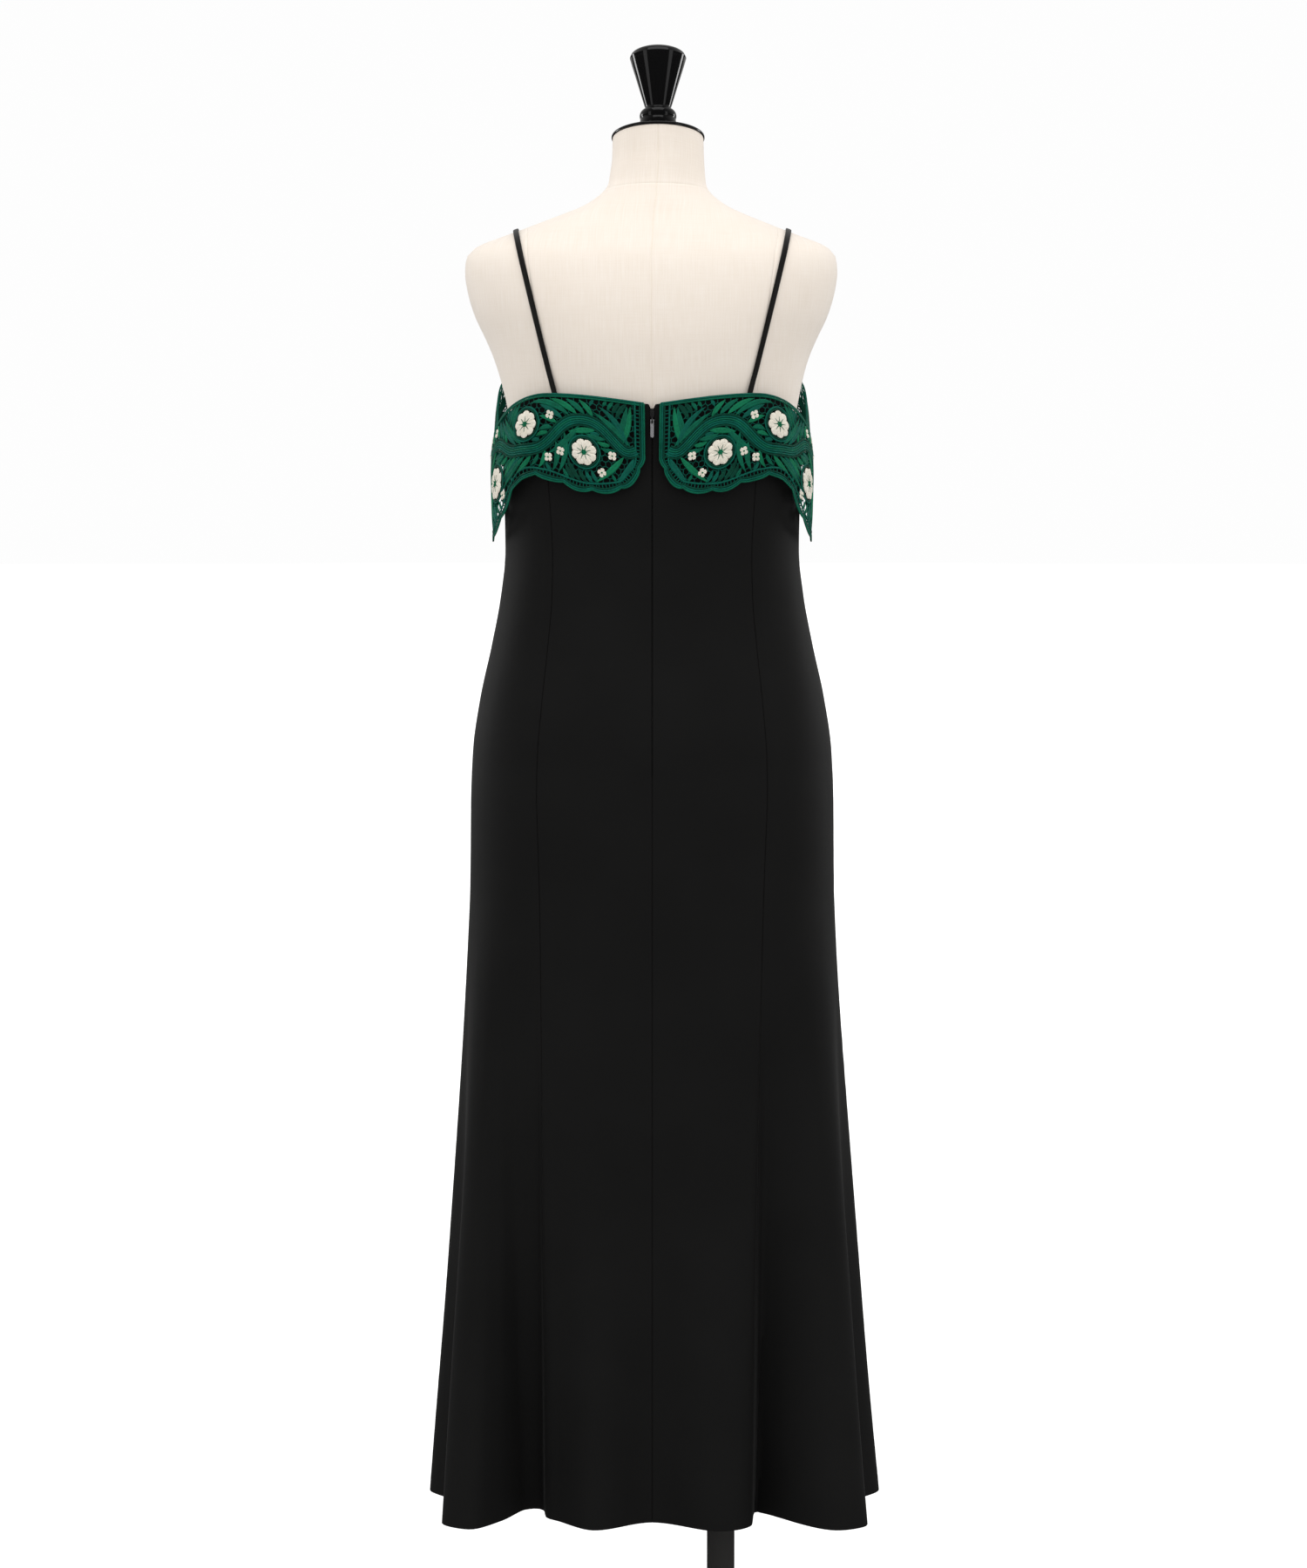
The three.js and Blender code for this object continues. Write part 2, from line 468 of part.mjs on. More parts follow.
// ---------------------------------------------------------------- straps
// A strap runs from inside the back edge, over the shoulder, to inside the front edge.
const STRAP_LINE = { backX: 98.5, topX: 138.6, topZ: 1500, frontS: 2.95 };
const STRAP_CENTRE = { y: -2, z: 1385 };
function strap(side, name) {
  const lift = STRAP.clear + STRAP.thick / 2;
  let lowS = 0;
  let highS = 1.5;
  for (let i = 0; i < 30; i++) {
    const mid = (lowS + highS) / 2;
    if (dressXY(mid, clothEdge(mid))[0] < STRAP_LINE.backX) lowS = mid;
    else highS = mid;
  }
  const backS = side > 0 ? lowS : 8 - lowS;
  const frontS = side > 0 ? STRAP_LINE.frontS : 8 - STRAP_LINE.frontS;
  const tucked = (s, z) => {
    const { p, normal } = dressPoint(s, z);
    return { p: p.addScaledVector(normal, -(WALL + STRAP.behind + STRAP.thick / 2)), normal };
  };
  // At the front it also runs down behind the lace that stands above the cloth.
  const ends = [backS, frontS].map((s) => {
    const low = clothEdge(s) - STRAP.tuck;
    const high = edgeAt.z(s) + 1;
    const n = Math.ceil((high - low) / 22);
    return Array.from({ length: n + 1 }, (_, i) => tucked(s, low + ((high - low) * i) / n));
  });
  const [backEnd, frontEnd] = ends.map((end) => end[end.length - 1].p);
  // Where the strap touches the form, at angle turn in the side view.
  const onForm = (turn) => {
    const dy = Math.cos(turn);
    const dz = Math.sin(turn);
    const end = dy > 0 ? backEnd : frontEnd;
    let x = Math.abs(end.x);
    let y = 0;
    let z = 0;
    for (let k = 0; k < 6; k++) {
      let lo = 20;
      let hi = 240;
      for (let i = 0; i < 40; i++) {
        const mid = (lo + hi) / 2;
        if (formLevel(side * x, STRAP_CENTRE.y + mid * dy, STRAP_CENTRE.z + mid * dz) < 1) lo = mid;
        else hi = mid;
      }
      y = STRAP_CENTRE.y + lo * dy;
      z = STRAP_CENTRE.z + lo * dz;
      const up = clamp((z - end.z) / (STRAP_LINE.topZ - end.z), 0, 1);
      x = Math.abs(end.x) + (STRAP_LINE.topX - Math.abs(end.x)) * up;
    }
    const p = new THREE.Vector3(side * x, y, z);
    const normal = formNormal(p);
    return { p: p.addScaledVector(normal, lift), normal };
  };
  const turnOf = (p) => Math.atan2(p.z - STRAP_CENTRE.z, p.y - STRAP_CENTRE.y);
  const start = turnOf(backEnd) + 0.13;
  const stop = turnOf(frontEnd) - 0.13 + (turnOf(frontEnd) < 0 ? 2 * Math.PI : 0);
  const spots = [...ends[0]];
  for (let i = 0; i <= STRAP.steps; i++) spots.push(onForm(start + ((stop - start) * i) / STRAP.steps));
  spots.push(...ends[1].slice().reverse());
  const list = spots.map(({ p, normal }, i) => {
    const ahead = spots[Math.min(i + 1, spots.length - 1)].p.clone().sub(spots[Math.max(i - 1, 0)].p).normalize();
    let out = normal;
    const across = new THREE.Vector3().crossVectors(ahead, out).normalize();
    out = new THREE.Vector3().crossVectors(across, ahead).normalize();
    return Array.from({ length: 8 }, (_, c) => {
      const t = ((c + 0.5) / 8) * 2 * Math.PI;
      const w = (STRAP.width / 2) * Math.sign(Math.cos(t)) * Math.min(1, Math.abs(Math.cos(t)) * 1.08);
      const h = (STRAP.thick / 2) * Math.sign(Math.sin(t)) * Math.min(1, Math.abs(Math.sin(t)) * 1.08);
      return p.clone().addScaledVector(across, w).addScaledVector(out, h);
    });
  });
  return rings(list, name, SATIN);
}

// ---------------------------------------------------------------- solids joined and cut
const wasm = await Module();
wasm.setup();
function solid(geometry) {
  let g = geometry.index ? geometry.toNonIndexed() : geometry.clone();
  g.deleteAttribute("normal");
  g.deleteAttribute("uv");
  g = mergeVertices(g, 1e-4);
  return new wasm.Manifold(
    new wasm.Mesh({
      numProp: 3,
      vertProperties: new Float32Array(g.attributes.position.array),
      triVerts: new Uint32Array(g.index.array),
    }),
  );
}
function meshOf(body, name, material) {
  const m = body.getMesh();
  const g = new THREE.BufferGeometry();
  g.setAttribute("position", new THREE.BufferAttribute(new Float32Array(m.vertProperties), 3));
  g.setIndex(new THREE.BufferAttribute(new Uint32Array(m.triVerts), 1));
  g.computeVertexNormals();
  const mesh = new THREE.Mesh(g, material);
  mesh.name = name;
  return mesh;
}
const box = (x0, x1, y0, y1, z0, z1) =>
  solid(new THREE.BoxGeometry(x1 - x0, y1 - y0, z1 - z0).translate((x0 + x1) / 2, (y0 + y1) / 2, (z0 + z1) / 2));
const rodX = (r, half, y, z, sides = 20) =>
  solid(new THREE.CylinderGeometry(r, r, 2 * half, sides).rotateZ(Math.PI / 2).translate(0, y, z));

// ---------------------------------------------------------------- zip at the centre back
// Distances out from the cloth at the pull's pin.
const clothY = dressXY(0, PULL.z)[1];
const slope = (dressXY(0, PULL.z + 6)[1] - dressXY(0, PULL.z - 6)[1]) / 12;
const PIN_OUT = 1.7;
const pinY = clothY + PIN_OUT;
function slider() {
  const lean1 = Math.atan(slope);
  // Drawn upright round the pin, then leaned with the cloth about the pin.
  const y0 = -PIN_OUT;
  const plate = solid(
    new THREE.ExtrudeGeometry(
      new THREE.Shape(
        [[-3.4, -1.4], [-2.2, -2.4], [2.2, -2.4], [3.4, -1.4], [3.4, 8.6], [2, 11.4], [-2, 11.4], [-3.4, 8.6]].map(
          ([x, z]) => new THREE.Vector2(x, z),
        ),
      ),
      { depth: 1.7, bevelEnabled: false },
    )
      .rotateX(Math.PI / 2)
      .translate(0, y0 - WALL - SEAM, 0),
  );
  const neck = box(-0.65, 0.65, y0 - WALL - SEAM - 0.8, 0.2, -2.2, 8.6);
  const crown = solid(
    new THREE.ExtrudeGeometry(
      (() => {
        const oval = (rx, rz, n) =>
          Array.from({ length: n }, (_, i) => {
            const t = (i / n) * 2 * Math.PI;
            return new THREE.Vector2(rx * Math.cos(t), 6.9 + rz * Math.sin(t));
          });
        return new THREE.Shape(oval(2.2, 4.9, 20));
      })(),
      { depth: 1.1, bevelEnabled: false },
    )
      .rotateX(Math.PI / 2)
      .translate(0, y0 + 0.4 + 1.1, 0),
  );
  const arch = rodX(2.7, 0.65, 0, 0, 24);
  let body = plate.add(neck).add(crown).add(arch);
  body = body.subtract(rodX(1.5, 3, 0, 0, 20));
  body = body.subtract(box(-3, 3, -1.2, 6, -0.9, 0.9).intersect(rodX(1.5, 3, 0, 0, 20)));
  const mesh = meshOf(body, "zip_slider", ZINC);
  mesh.rotation.x = -lean1;
  mesh.position.set(0, pinY, PULL.z);
  return mesh;
}
function pullTab() {
  const { width, thick, reach, pin, hole } = PULL;
  const shape = new THREE.Shape();
  const w = width / 2;
  shape.moveTo(-w, 0.4);
  shape.lineTo(-w, -reach + 4);
  for (let i = 1; i <= 7; i++) {
    const t = Math.PI + (i / 8) * Math.PI;
    shape.lineTo(w * 1.12 * Math.cos(t), -reach + 2.4 + 2.4 * Math.sin(t));
  }
  shape.lineTo(w, -reach + 4);
  shape.lineTo(w, 0.4);
  const plate = solid(
    new THREE.ExtrudeGeometry(shape, { depth: thick, bevelEnabled: false }).rotateX(Math.PI / 2).translate(0, thick / 2, 0),
  );
  const eye = box(-0.95, 0.95, -3, 3, -hole, 3);
  const body = plate.subtract(eye).add(rodX(pin, w, 0, 0, 16));
  const mesh = meshOf(body, "zip_pull_tab", ZINC);
  mesh.position.set(0, pinY, PULL.z);
  return mesh;
}
// Each zip tape lies behind its centre back gore, and is made from the gore's own points.
function tape(side, name) {
  const { outer, inner } = grids[side > 0 ? "dress_centre_back_left" : "dress_centre_back_right"];
  const edge = side > 0 ? 0 : outer[0].length - 1;
  const step = side > 0 ? 1 : -1;
  const near = [];
  const far = [];
  const lay = (at, t) => {
    // A row of the tape, t of the way from the gore's row at to its next row.
    const pick = (grid, c) => grid[at][c].clone().lerp(grid[at + 1][c], t);
    const a = pick(inner, edge);
    const b = pick(inner, edge + step);
    const into = a.clone().sub(pick(outer, edge)).normalize();
    const strip = [0.3, ZIP.tape].map((across) => a.clone().add(b.clone().sub(a).setLength(across)));
    near.push(strip.map((p) => p.clone().addScaledVector(into, SEAM)));
    far.push(strip.map((p) => p.clone().addScaledVector(into, SEAM + ZIP.thick)));
  };
  const z = (r) => inner[r][edge].z;
  let r = 0;
  while (z(r + 1) > ZIP.top - 1) r++;
  lay(r, (z(r) - ZIP.top) / (z(r) - z(r + 1)));
  for (r++; z(r) > ZIP.foot; r++) lay(r, 0);
  lay(r - 1, (z(r - 1) - ZIP.foot) / (z(r - 1) - z(r)));
  return wall(near, far, name, TAPE);
}

// ---------------------------------------------------------------- neck cap and finial
// Both sit on the slanting cut of the neck, square to it.
const neckTop = FORM[0];
function capRing(grow, height) {
  const seat = SEAM / Math.cos(NECK_TILT * DEG);
  return Array.from({ length: 36 }, (_, c) => {
    const p = formPoint((c / 36) * 2 * Math.PI, neckTop.z, grow);
    return p.add(new THREE.Vector3(0, -Math.sin(NECK_TILT * DEG), Math.cos(NECK_TILT * DEG)).multiplyScalar(seat + height));
  });
}
function cap() {
  const { thick, over, dome } = CAP;
  const list = [capRing(over - 1, 0), capRing(over, 1), capRing(over, thick - 2), capRing(over - 1.6, thick - 0.4), capRing(-6, thick + dome * 0.35), capRing(-24, thick + dome)];
  return rings(list, "form_neck_cap", GLOSS);
}
// Radius and height above the cap's seat.
const FINIAL = [
  { at: "foot", r: 18, h: 0 },
  { at: "plinth", r: 18.5, h: 4.4 },
  { at: "bead", r: 18.9, h: 9.2 },
  { at: "bead high", r: 17.8, h: 13 },
  { at: "groove", r: 13.3, h: 16.4 },
  { at: "cone foot", r: 13.2, h: 18.2 },
  { at: "cone", r: 17.2, h: 31.5 },
  { at: "cone middle", r: 22.4, h: 49 },
  { at: "cone top", r: 28, h: 67.8 },
  { at: "rim", r: 28.9, h: 71.2 },
  { at: "rim round", r: 27.4, h: 74.8 },
  { at: "crown", r: 20, h: 79 },
  { at: "crown top", r: 9, h: 81.2 },
];
function finial() {
  const profile = [new THREE.Vector2(0, 0), ...FINIAL.map(({ r, h }) => new THREE.Vector2(r, h)), new THREE.Vector2(0, 81.8)];
  const g = new THREE.LatheGeometry(profile, 28);
  g.rotateX(Math.PI / 2); // the lathe turns about its own Y
  const mesh = meshOf(solid(g), "form_finial", GLOSS);
  const axis = new THREE.Vector3(0, -Math.sin(NECK_TILT * DEG), Math.cos(NECK_TILT * DEG));
  mesh.rotation.x = NECK_TILT * DEG;
  mesh.position
    .set(neckTop.shift, neckTop.line, neckTop.z)
    .addScaledVector(axis, SEAM + CAP.thick + CAP.dome + SEAM);
  return mesh;
}

// ---------------------------------------------------------------- stand
function pole() {
  const foot = BASE.thick + SEAM;
  const high = FORM[FORM.length - 1].z - SEAM;
  const g = new THREE.CylinderGeometry(POLE.radius, POLE.radius, high - foot, 32);
  g.rotateX(Math.PI / 2).translate(POLE.x, POLE.y, (foot + high) / 2);
  const mesh = meshOf(solid(g), "stand_pole", STEEL);
  return mesh;
}
function collar() {
  const inner = POLE.radius + SEAM;
  const { collar: outer, collarHigh: high, thick } = BASE;
  const z = thick + SEAM;
  const profile = [
    [inner, z], [outer + 6, z], [outer + 6, z + 3], [outer - 3, z + 8], [inner + 4, z + high - 3], [inner + 3, z + high], [inner, z + high], [inner, z],
  ].map(([r, h]) => new THREE.Vector2(r, h));
  const g = new THREE.LatheGeometry(profile, 32);
  g.rotateX(Math.PI / 2);
  const mesh = meshOf(solid(g), "stand_collar", STEEL);
  mesh.position.set(POLE.x, POLE.y, 0);
  return mesh;
}
function base() {
  const { radius, thick } = BASE;
  const profile = [[0, 0], [radius - 1, 0], [radius, 1], [radius, thick - 3], [radius - 2.5, thick - 0.6], [radius - 5, thick], [0, thick]].map(
    ([r, h]) => new THREE.Vector2(r, h),
  );
  const g = new THREE.LatheGeometry(profile, 64);
  g.rotateX(Math.PI / 2);
  return meshOf(solid(g), "stand_base", STEEL);
}

// ---------------------------------------------------------------- the object
const dress = new THREE.Group();
for (const row of GORES) dress.add(gore(row));
for (const row of LACES) dress.add(lace(row));
dress.add(strap(1, "strap_left"), strap(-1, "strap_right"));
const zip = new THREE.Group();
zip.add(tape(1, "zip_tape_left"), tape(-1, "zip_tape_right"), slider(), pullTab());
dress.add(zip);

const stand = new THREE.Group();
stand.add(form(), cap(), finial(), pole(), collar(), base());

const object = new THREE.Group();
object.add(dress, stand);
export default object;
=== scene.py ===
# Looks of a long black slip dress with a lace flounce, worn by a limbless dress form on a stand.
# The tables are the part's own, in millimetres; every mesh is turned into metres when it is made.
import math

import bpy
import numpy as np
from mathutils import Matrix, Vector


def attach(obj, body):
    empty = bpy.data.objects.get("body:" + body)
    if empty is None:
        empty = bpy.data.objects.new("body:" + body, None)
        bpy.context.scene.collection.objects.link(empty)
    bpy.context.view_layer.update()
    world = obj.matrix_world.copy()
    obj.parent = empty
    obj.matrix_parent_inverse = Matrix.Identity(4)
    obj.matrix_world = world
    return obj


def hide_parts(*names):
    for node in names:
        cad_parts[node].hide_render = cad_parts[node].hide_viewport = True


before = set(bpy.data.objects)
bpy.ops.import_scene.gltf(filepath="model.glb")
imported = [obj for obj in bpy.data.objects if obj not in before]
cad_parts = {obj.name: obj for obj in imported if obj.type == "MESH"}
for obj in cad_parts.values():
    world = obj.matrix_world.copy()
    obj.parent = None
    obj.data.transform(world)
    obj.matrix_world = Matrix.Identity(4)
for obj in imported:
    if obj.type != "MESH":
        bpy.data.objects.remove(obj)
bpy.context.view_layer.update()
BODY = "dress_on_form"
DEG = math.pi / 180

# ---------------------------------------------------------------- sizes shared with the part
WALL = 1.1           # the cloth itself; its solid also holds the seam allowances
HEM_Z, FLARE_Z, FLARE_POWER, FOLD_POWER = 190.0, 820.0, 1.06, 1.5
STRAP = dict(width=6.6, thick=1.8, clear=1.1, tuck=11, behind=0.9)
ZIP = dict(foot=935, top=1300, tape=11, thick=1.0)
NECK_TILT = 12.4
CAP = dict(thick=3.6, over=1.2, dome=6.4)
POLE = dict(x=-72, y=0, radius=14.5)
BASE = dict(radius=180, thick=9, collar=24, high=30)
SEAM = 0.3

DRESS = [  # z, half, back, front, square
    (1372, 164, 113, 135, 2.25), (1340, 160.5, 110, 140.5, 2.25), (1318, 157.5, 107, 143.5, 2.25),
    (1296, 155, 104, 143, 2.25), (1240, 151.8, 97.5, 134, 2.2), (1175, 150.4, 93.5, 119, 2.2),
    (1130, 155, 95, 114, 2.2), (1077, 165, 102, 114, 2.2), (1023, 177, 111, 115, 2.2),
    (969, 184.8, 119, 115, 2.2), (915, 187, 122.5, 114, 2.2), (860, 187.4, 122, 113, 2.22),
    (820, 188, 121.5, 113, 2.25),
]
HEM = dict(half=222, back=130, front=127, square=3.0)
SEAM_HEIGHTS = (190, 636, 985, 1200, 1330)
SEAMS = [  # degrees round from the back at those heights, one row for each of s = 0 to 8
    (0, 0, 0, 0, 0), (41.5, 46, 50, 54, 54.5), (89, 90, 91, 92, 92), (137, 134, 131, 128, 129),
    (180, 180, 180, 180, 180), (223, 226, 229, 232, 231), (271, 270, 269, 268, 268),
    (319.5, 315, 310, 306, 305.5), (360, 360, 360, 360, 360),
]
FOLDS = [  # s, x, y of each crest and valley of the hem
    (0, 0, 122), (0.5, 58, 149.5), (0.86, 96, 117), (0.99, 108.5, 103), (1.04, 111.5, 80), (1.13, 119, 73),
    (1.22, 129, 76), (1.36, 153, 117), (1.5, 184, 146), (1.62, 214, 124),
    (1.8, 199, 60), (2.02, 233, 4), (2.28, 202, -54), (2.56, 196, -122), (2.9, 128, -92), (3.45, 66, -149),
    (4, -2, -132), (4.48, -60, -152), (5.08, -122, -96), (5.42, -192, -127), (5.73, -204, -60),
    (5.98, -238, 3), (6.2, -202, 62), (6.38, -219, 129), (6.52, -187, 149.5), (6.87, -114, 90),
    (6.935, -106, 84), (6.975, -103.5, 96), (7.03, -100.5, 133), (7.42, -66, 152),
]
EDGE = [(0, 1320, 0), (0.9, 1331, 0), (1.95, 1297, 0), (2.45, 1343, 42), (2.95, 1370, 55), (4, 1342, 20)]  # s, z, dip
NOTCH = [(1320, 3.4), (1316.2, 1.7), (1300, 1.25), (1288, 0)]
FLOUNCE = [  # s, drop, stand, roll
    (0.07, 66, 5, 2.4), (0.3, 92, 7, 2.4), (0.6, 98, 8.5, 2.4), (1.0, 85, 9.5, 2.6), (1.2, 79, 10.5, 3),
    (1.55, 106, 11.5, 4.5), (1.88, 116, 11.8, 6), (2.3, 108, 11, 4.5), (2.95, 116, 9.5, 2.6),
    (3.5, 112, 8.5, 2.4), (4, 92, 8, 2.4),
]
LACE_FOOT = 2.2
FORM = [  # z, shift, line, half, back, front, square
    (1597, -6, -18, 46.4, 48, 50, 2), (1576, -6, -16, 47, 48, 50, 2), (1560, -5.5, -13, 48.4, 48.5, 52, 2),
    (1547, -5, -11, 50.2, 50, 56, 2), (1539, -4.3, -10, 55, 52.5, 62, 2), (1530.5, -3.8, -9, 64.5, 56.5, 69, 2),
    (1522.5, -3, -8, 77.5, 61, 74, 2.02), (1515, -1.6, -7.5, 95.5, 66, 78.5, 2.06), (1507, -1, -7, 116, 71.5, 83, 2.1),
    (1499, -0.6, -6, 136.5, 77, 87, 2.15), (1491, -0.3, -5, 158, 82, 90.5, 2.2), (1484.5, 0, -4, 174.5, 85.5, 93.5, 2.25),
    (1477, 0.6, -2, 185.5, 89.5, 96.5, 2.3), (1468, 1, -1, 189, 93.5, 100, 2.32), (1456, 1, 0, 189.8, 97.5, 103.5, 2.35),
    (1436, 1, 0, 187, 103, 109.5, 2.35), (1412, 1, 0, 179.8, 106.5, 117, 2.33), (1390, 1, 0, 169.4, 107.5, 123, 2.3),
    (1370, 1, 0, 161, 106, 124, 2.3), (1350, 0.6, 0, 155, 103.5, 127.5, 2.28), (1320, 0, 0, 148.4, 99.5, 132, 2.25),
    (1294, 0, 0, 144.5, 96, 134.5, 2.22), (1250, 0, 0, 140, 90.5, 126, 2.2), (1205, 0, 0, 134, 85.5, 110, 2.15),
    (1160, 0, 0, 127, 83, 98, 2.12), (1122, 0, 0, 125, 84, 93, 2.1), (1075, 0, 0, 138, 91.5, 95, 2.1),
    (1022, 0, 0, 160, 103, 101, 2.12), (965, 0, 0, 174.5, 112.5, 103, 2.15), (912, 0, 0, 179.5, 116, 101, 2.2),
    (862, 0, 0, 178.5, 112, 97, 2.25), (836, 0, 0, 174, 107, 93, 2.3), (826, 0, 0, 164, 98, 85, 2.3),
]
FORM_SEAM = [(1500, 127.5), (1450, 121.5), (1411, 116.5), (1385, 112.2), (1340, 105.6), (1250, 97), (1130, 88), (965, 98), (826, 101)]
NECK_TOP = 1597.0


# ---------------------------------------------------------------- curves through tables
def through(xs, ys):
    """The part's smooth curve through points, for arrays."""
    xs, ys = np.asarray(xs, float), np.asarray(ys, float)
    gap = np.diff(xs)
    slope = np.diff(ys) / gap
    m = np.empty(len(xs))
    m[0], m[-1] = slope[0], slope[-1]
    for i in range(1, len(xs) - 1):
        if slope[i - 1] * slope[i] <= 0:
            m[i] = 0
        else:
            w1, w2 = 2 * gap[i] + gap[i - 1], gap[i] + 2 * gap[i - 1]
            m[i] = (w1 + w2) / (w1 / slope[i - 1] + w2 / slope[i])

    def f(x):
        x = np.asarray(x, float)
        i = np.clip(np.searchsorted(xs, x, side="left") - 1, 0, len(xs) - 2)
        h = gap[i]
        t = np.clip((x - xs[i]) / h, 0, 1)
        a = 1 - t
        return (ys[i] * a * a * (1 + 2 * t) + ys[i + 1] * t * t * (1 + 2 * a)
                + h * (m[i] * t * a * a - m[i + 1] * a * t * t))

    return f


def columns(rows, key=0):
    rows = sorted(rows, key=lambda r: r[key])
    return [through([r[key] for r in rows], [r[c] for r in rows]) for c in range(1, len(rows[0]))]


def mirrored(rows):
    return list(rows) + [(8 - r[0],) + tuple(r[1:]) for r in reversed(rows[:-1])]


d_half, d_back, d_front, d_square = columns(DRESS)
edge_at, dip_at = columns(mirrored(EDGE))
notch_at, = columns(NOTCH)
drop_at, stand_at, roll_at = columns(mirrored(FLOUNCE))
around = [(s - 8, x, y) for s, x, y in FOLDS[-4:]] + FOLDS + [(s + 8, x, y) for s, x, y in FOLDS[:4]]
fold_x, fold_y = columns(around)
f_shift, f_line, f_half, f_back, f_front, f_square = columns(FORM)
seam_angle = [through(SEAM_HEIGHTS, row) for row in SEAMS]


def angle_at(s, z):
    s, z = np.broadcast_arrays(np.asarray(s, float), np.asarray(z, float))
    a = np.stack([f(z) for f in seam_angle], -1)
    d = np.diff(a, axis=-1)
    m = np.empty_like(a)
    m[..., 0], m[..., -1] = d[..., 0], d[..., -1]
    prod = d[..., :-1] * d[..., 1:]
    m[..., 1:-1] = np.where(prod > 0, 2 * prod / np.where(prod > 0, d[..., :-1] + d[..., 1:], 1), 0)
    i = np.clip(np.ceil(s).astype(int) - 1, 0, 7)
    t = np.clip(s - i, 0, 1)
    b = 1 - t

    def take(x, k):
        return np.take_along_axis(x, k[..., None], -1)[..., 0]

    return DEG * (take(a, i) * b * b * (1 + 2 * t) + take(a, i + 1) * t * t * (1 + 2 * b)
                  + take(m, i) * t * b * b - take(m, i + 1) * b * t * t)


def squared(angle, half, back, front, square):
    x, y = np.sin(angle), np.cos(angle)
    deep = np.where(y > 0, back, front)
    r = (np.abs(x / half) ** square + np.abs(y / deep) ** square) ** (-1 / square)
    return r * x, r * y


def dress_xy(s, z):
    s, z = np.broadcast_arrays(np.asarray(s, float), np.asarray(z, float))
    s = np.where(s < 0, s + 8, np.where(s > 8, s - 8, s))
    zz = np.maximum(z, FLARE_Z)
    bx, by = squared(angle_at(s, z), d_half(zz), d_back(zz), d_front(zz), d_square(zz))
    down = np.clip((FLARE_Z - z) / (FLARE_Z - HEM_Z), 0, None)
    wide, fold = down ** FLARE_POWER, down ** FOLD_POWER
    at_hem = angle_at(s, np.full_like(z, HEM_Z))
    hx, hy = squared(at_hem, HEM["half"], HEM["back"], HEM["front"], HEM["square"])
    px, py = squared(at_hem, d_half(FLARE_Z), d_back(FLARE_Z), d_front(FLARE_Z), d_square(FLARE_Z))
    return (bx + wide * (hx - px) + fold * (fold_x(s) - hx), by + wide * (hy - py) + fold * (fold_y(s) - hy))


def unit(v):
    return v / np.maximum(np.linalg.norm(v, axis=-1, keepdims=True), 1e-12)


def dress_point(s, z):
    e = 0.004
    x, y = dress_xy(s, z)
    ax, ay = dress_xy(s - e, z)
    bx, by = dress_xy(s + e, z)
    ux, uy = dress_xy(s, z + 1)
    lx, ly = dress_xy(s, z - 1)
    along = np.stack([bx - ax, by - ay, np.zeros_like(x)], -1)
    rise = np.stack([ux - lx, uy - ly, np.full_like(x, 2.0)], -1)
    z = np.broadcast_to(z, x.shape)
    return np.stack([x, y, z], -1), unit(np.cross(rise, along))


def cloth_edge(s):
    return edge_at(s) - dip_at(s)


# ---------------------------------------------------------------- meshes
def mesh_object(name, verts_mm, faces, mats, face_mat=None, uv=None, sharp=40):
    """A smooth-shaded mesh from points in millimetres. uv has a row for each point, in metres."""
    me = bpy.data.meshes.new(name)
    me.from_pydata((np.asarray(verts_mm, float) / 1000).tolist(), [], faces)
    for m in mats:
        me.materials.append(m)
    if face_mat is not None:
        me.polygons.foreach_set("material_index", np.asarray(face_mat, np.int32))
    if uv is not None:
        layer = me.uv_layers.new(name="UVMap")
        loops = np.empty(len(me.loops), np.int32)
        me.loops.foreach_get("vertex_index", loops)
        layer.data.foreach_set("uv", np.asarray(uv, np.float32)[loops].ravel())
    me.polygons.foreach_set("use_smooth", np.ones(len(me.polygons), bool))
    me.update()
    me.set_sharp_from_angle(angle=sharp * DEG)
    o = bpy.data.objects.new(name, me)
    bpy.context.scene.collection.objects.link(o)
    return o


def grid_faces(rows, cols, base=0, wrap=False, flip=False):
    r = np.arange(rows - 1)[:, None]
    c = np.arange(cols if wrap else cols - 1)[None, :]
    d = (c + 1) % cols
    q = np.stack([r * cols + c, r * cols + d, (r + 1) * cols + d, (r + 1) * cols + c], -1).reshape(-1, 4) + base
    return (q[:, ::-1] if flip else q).tolist()


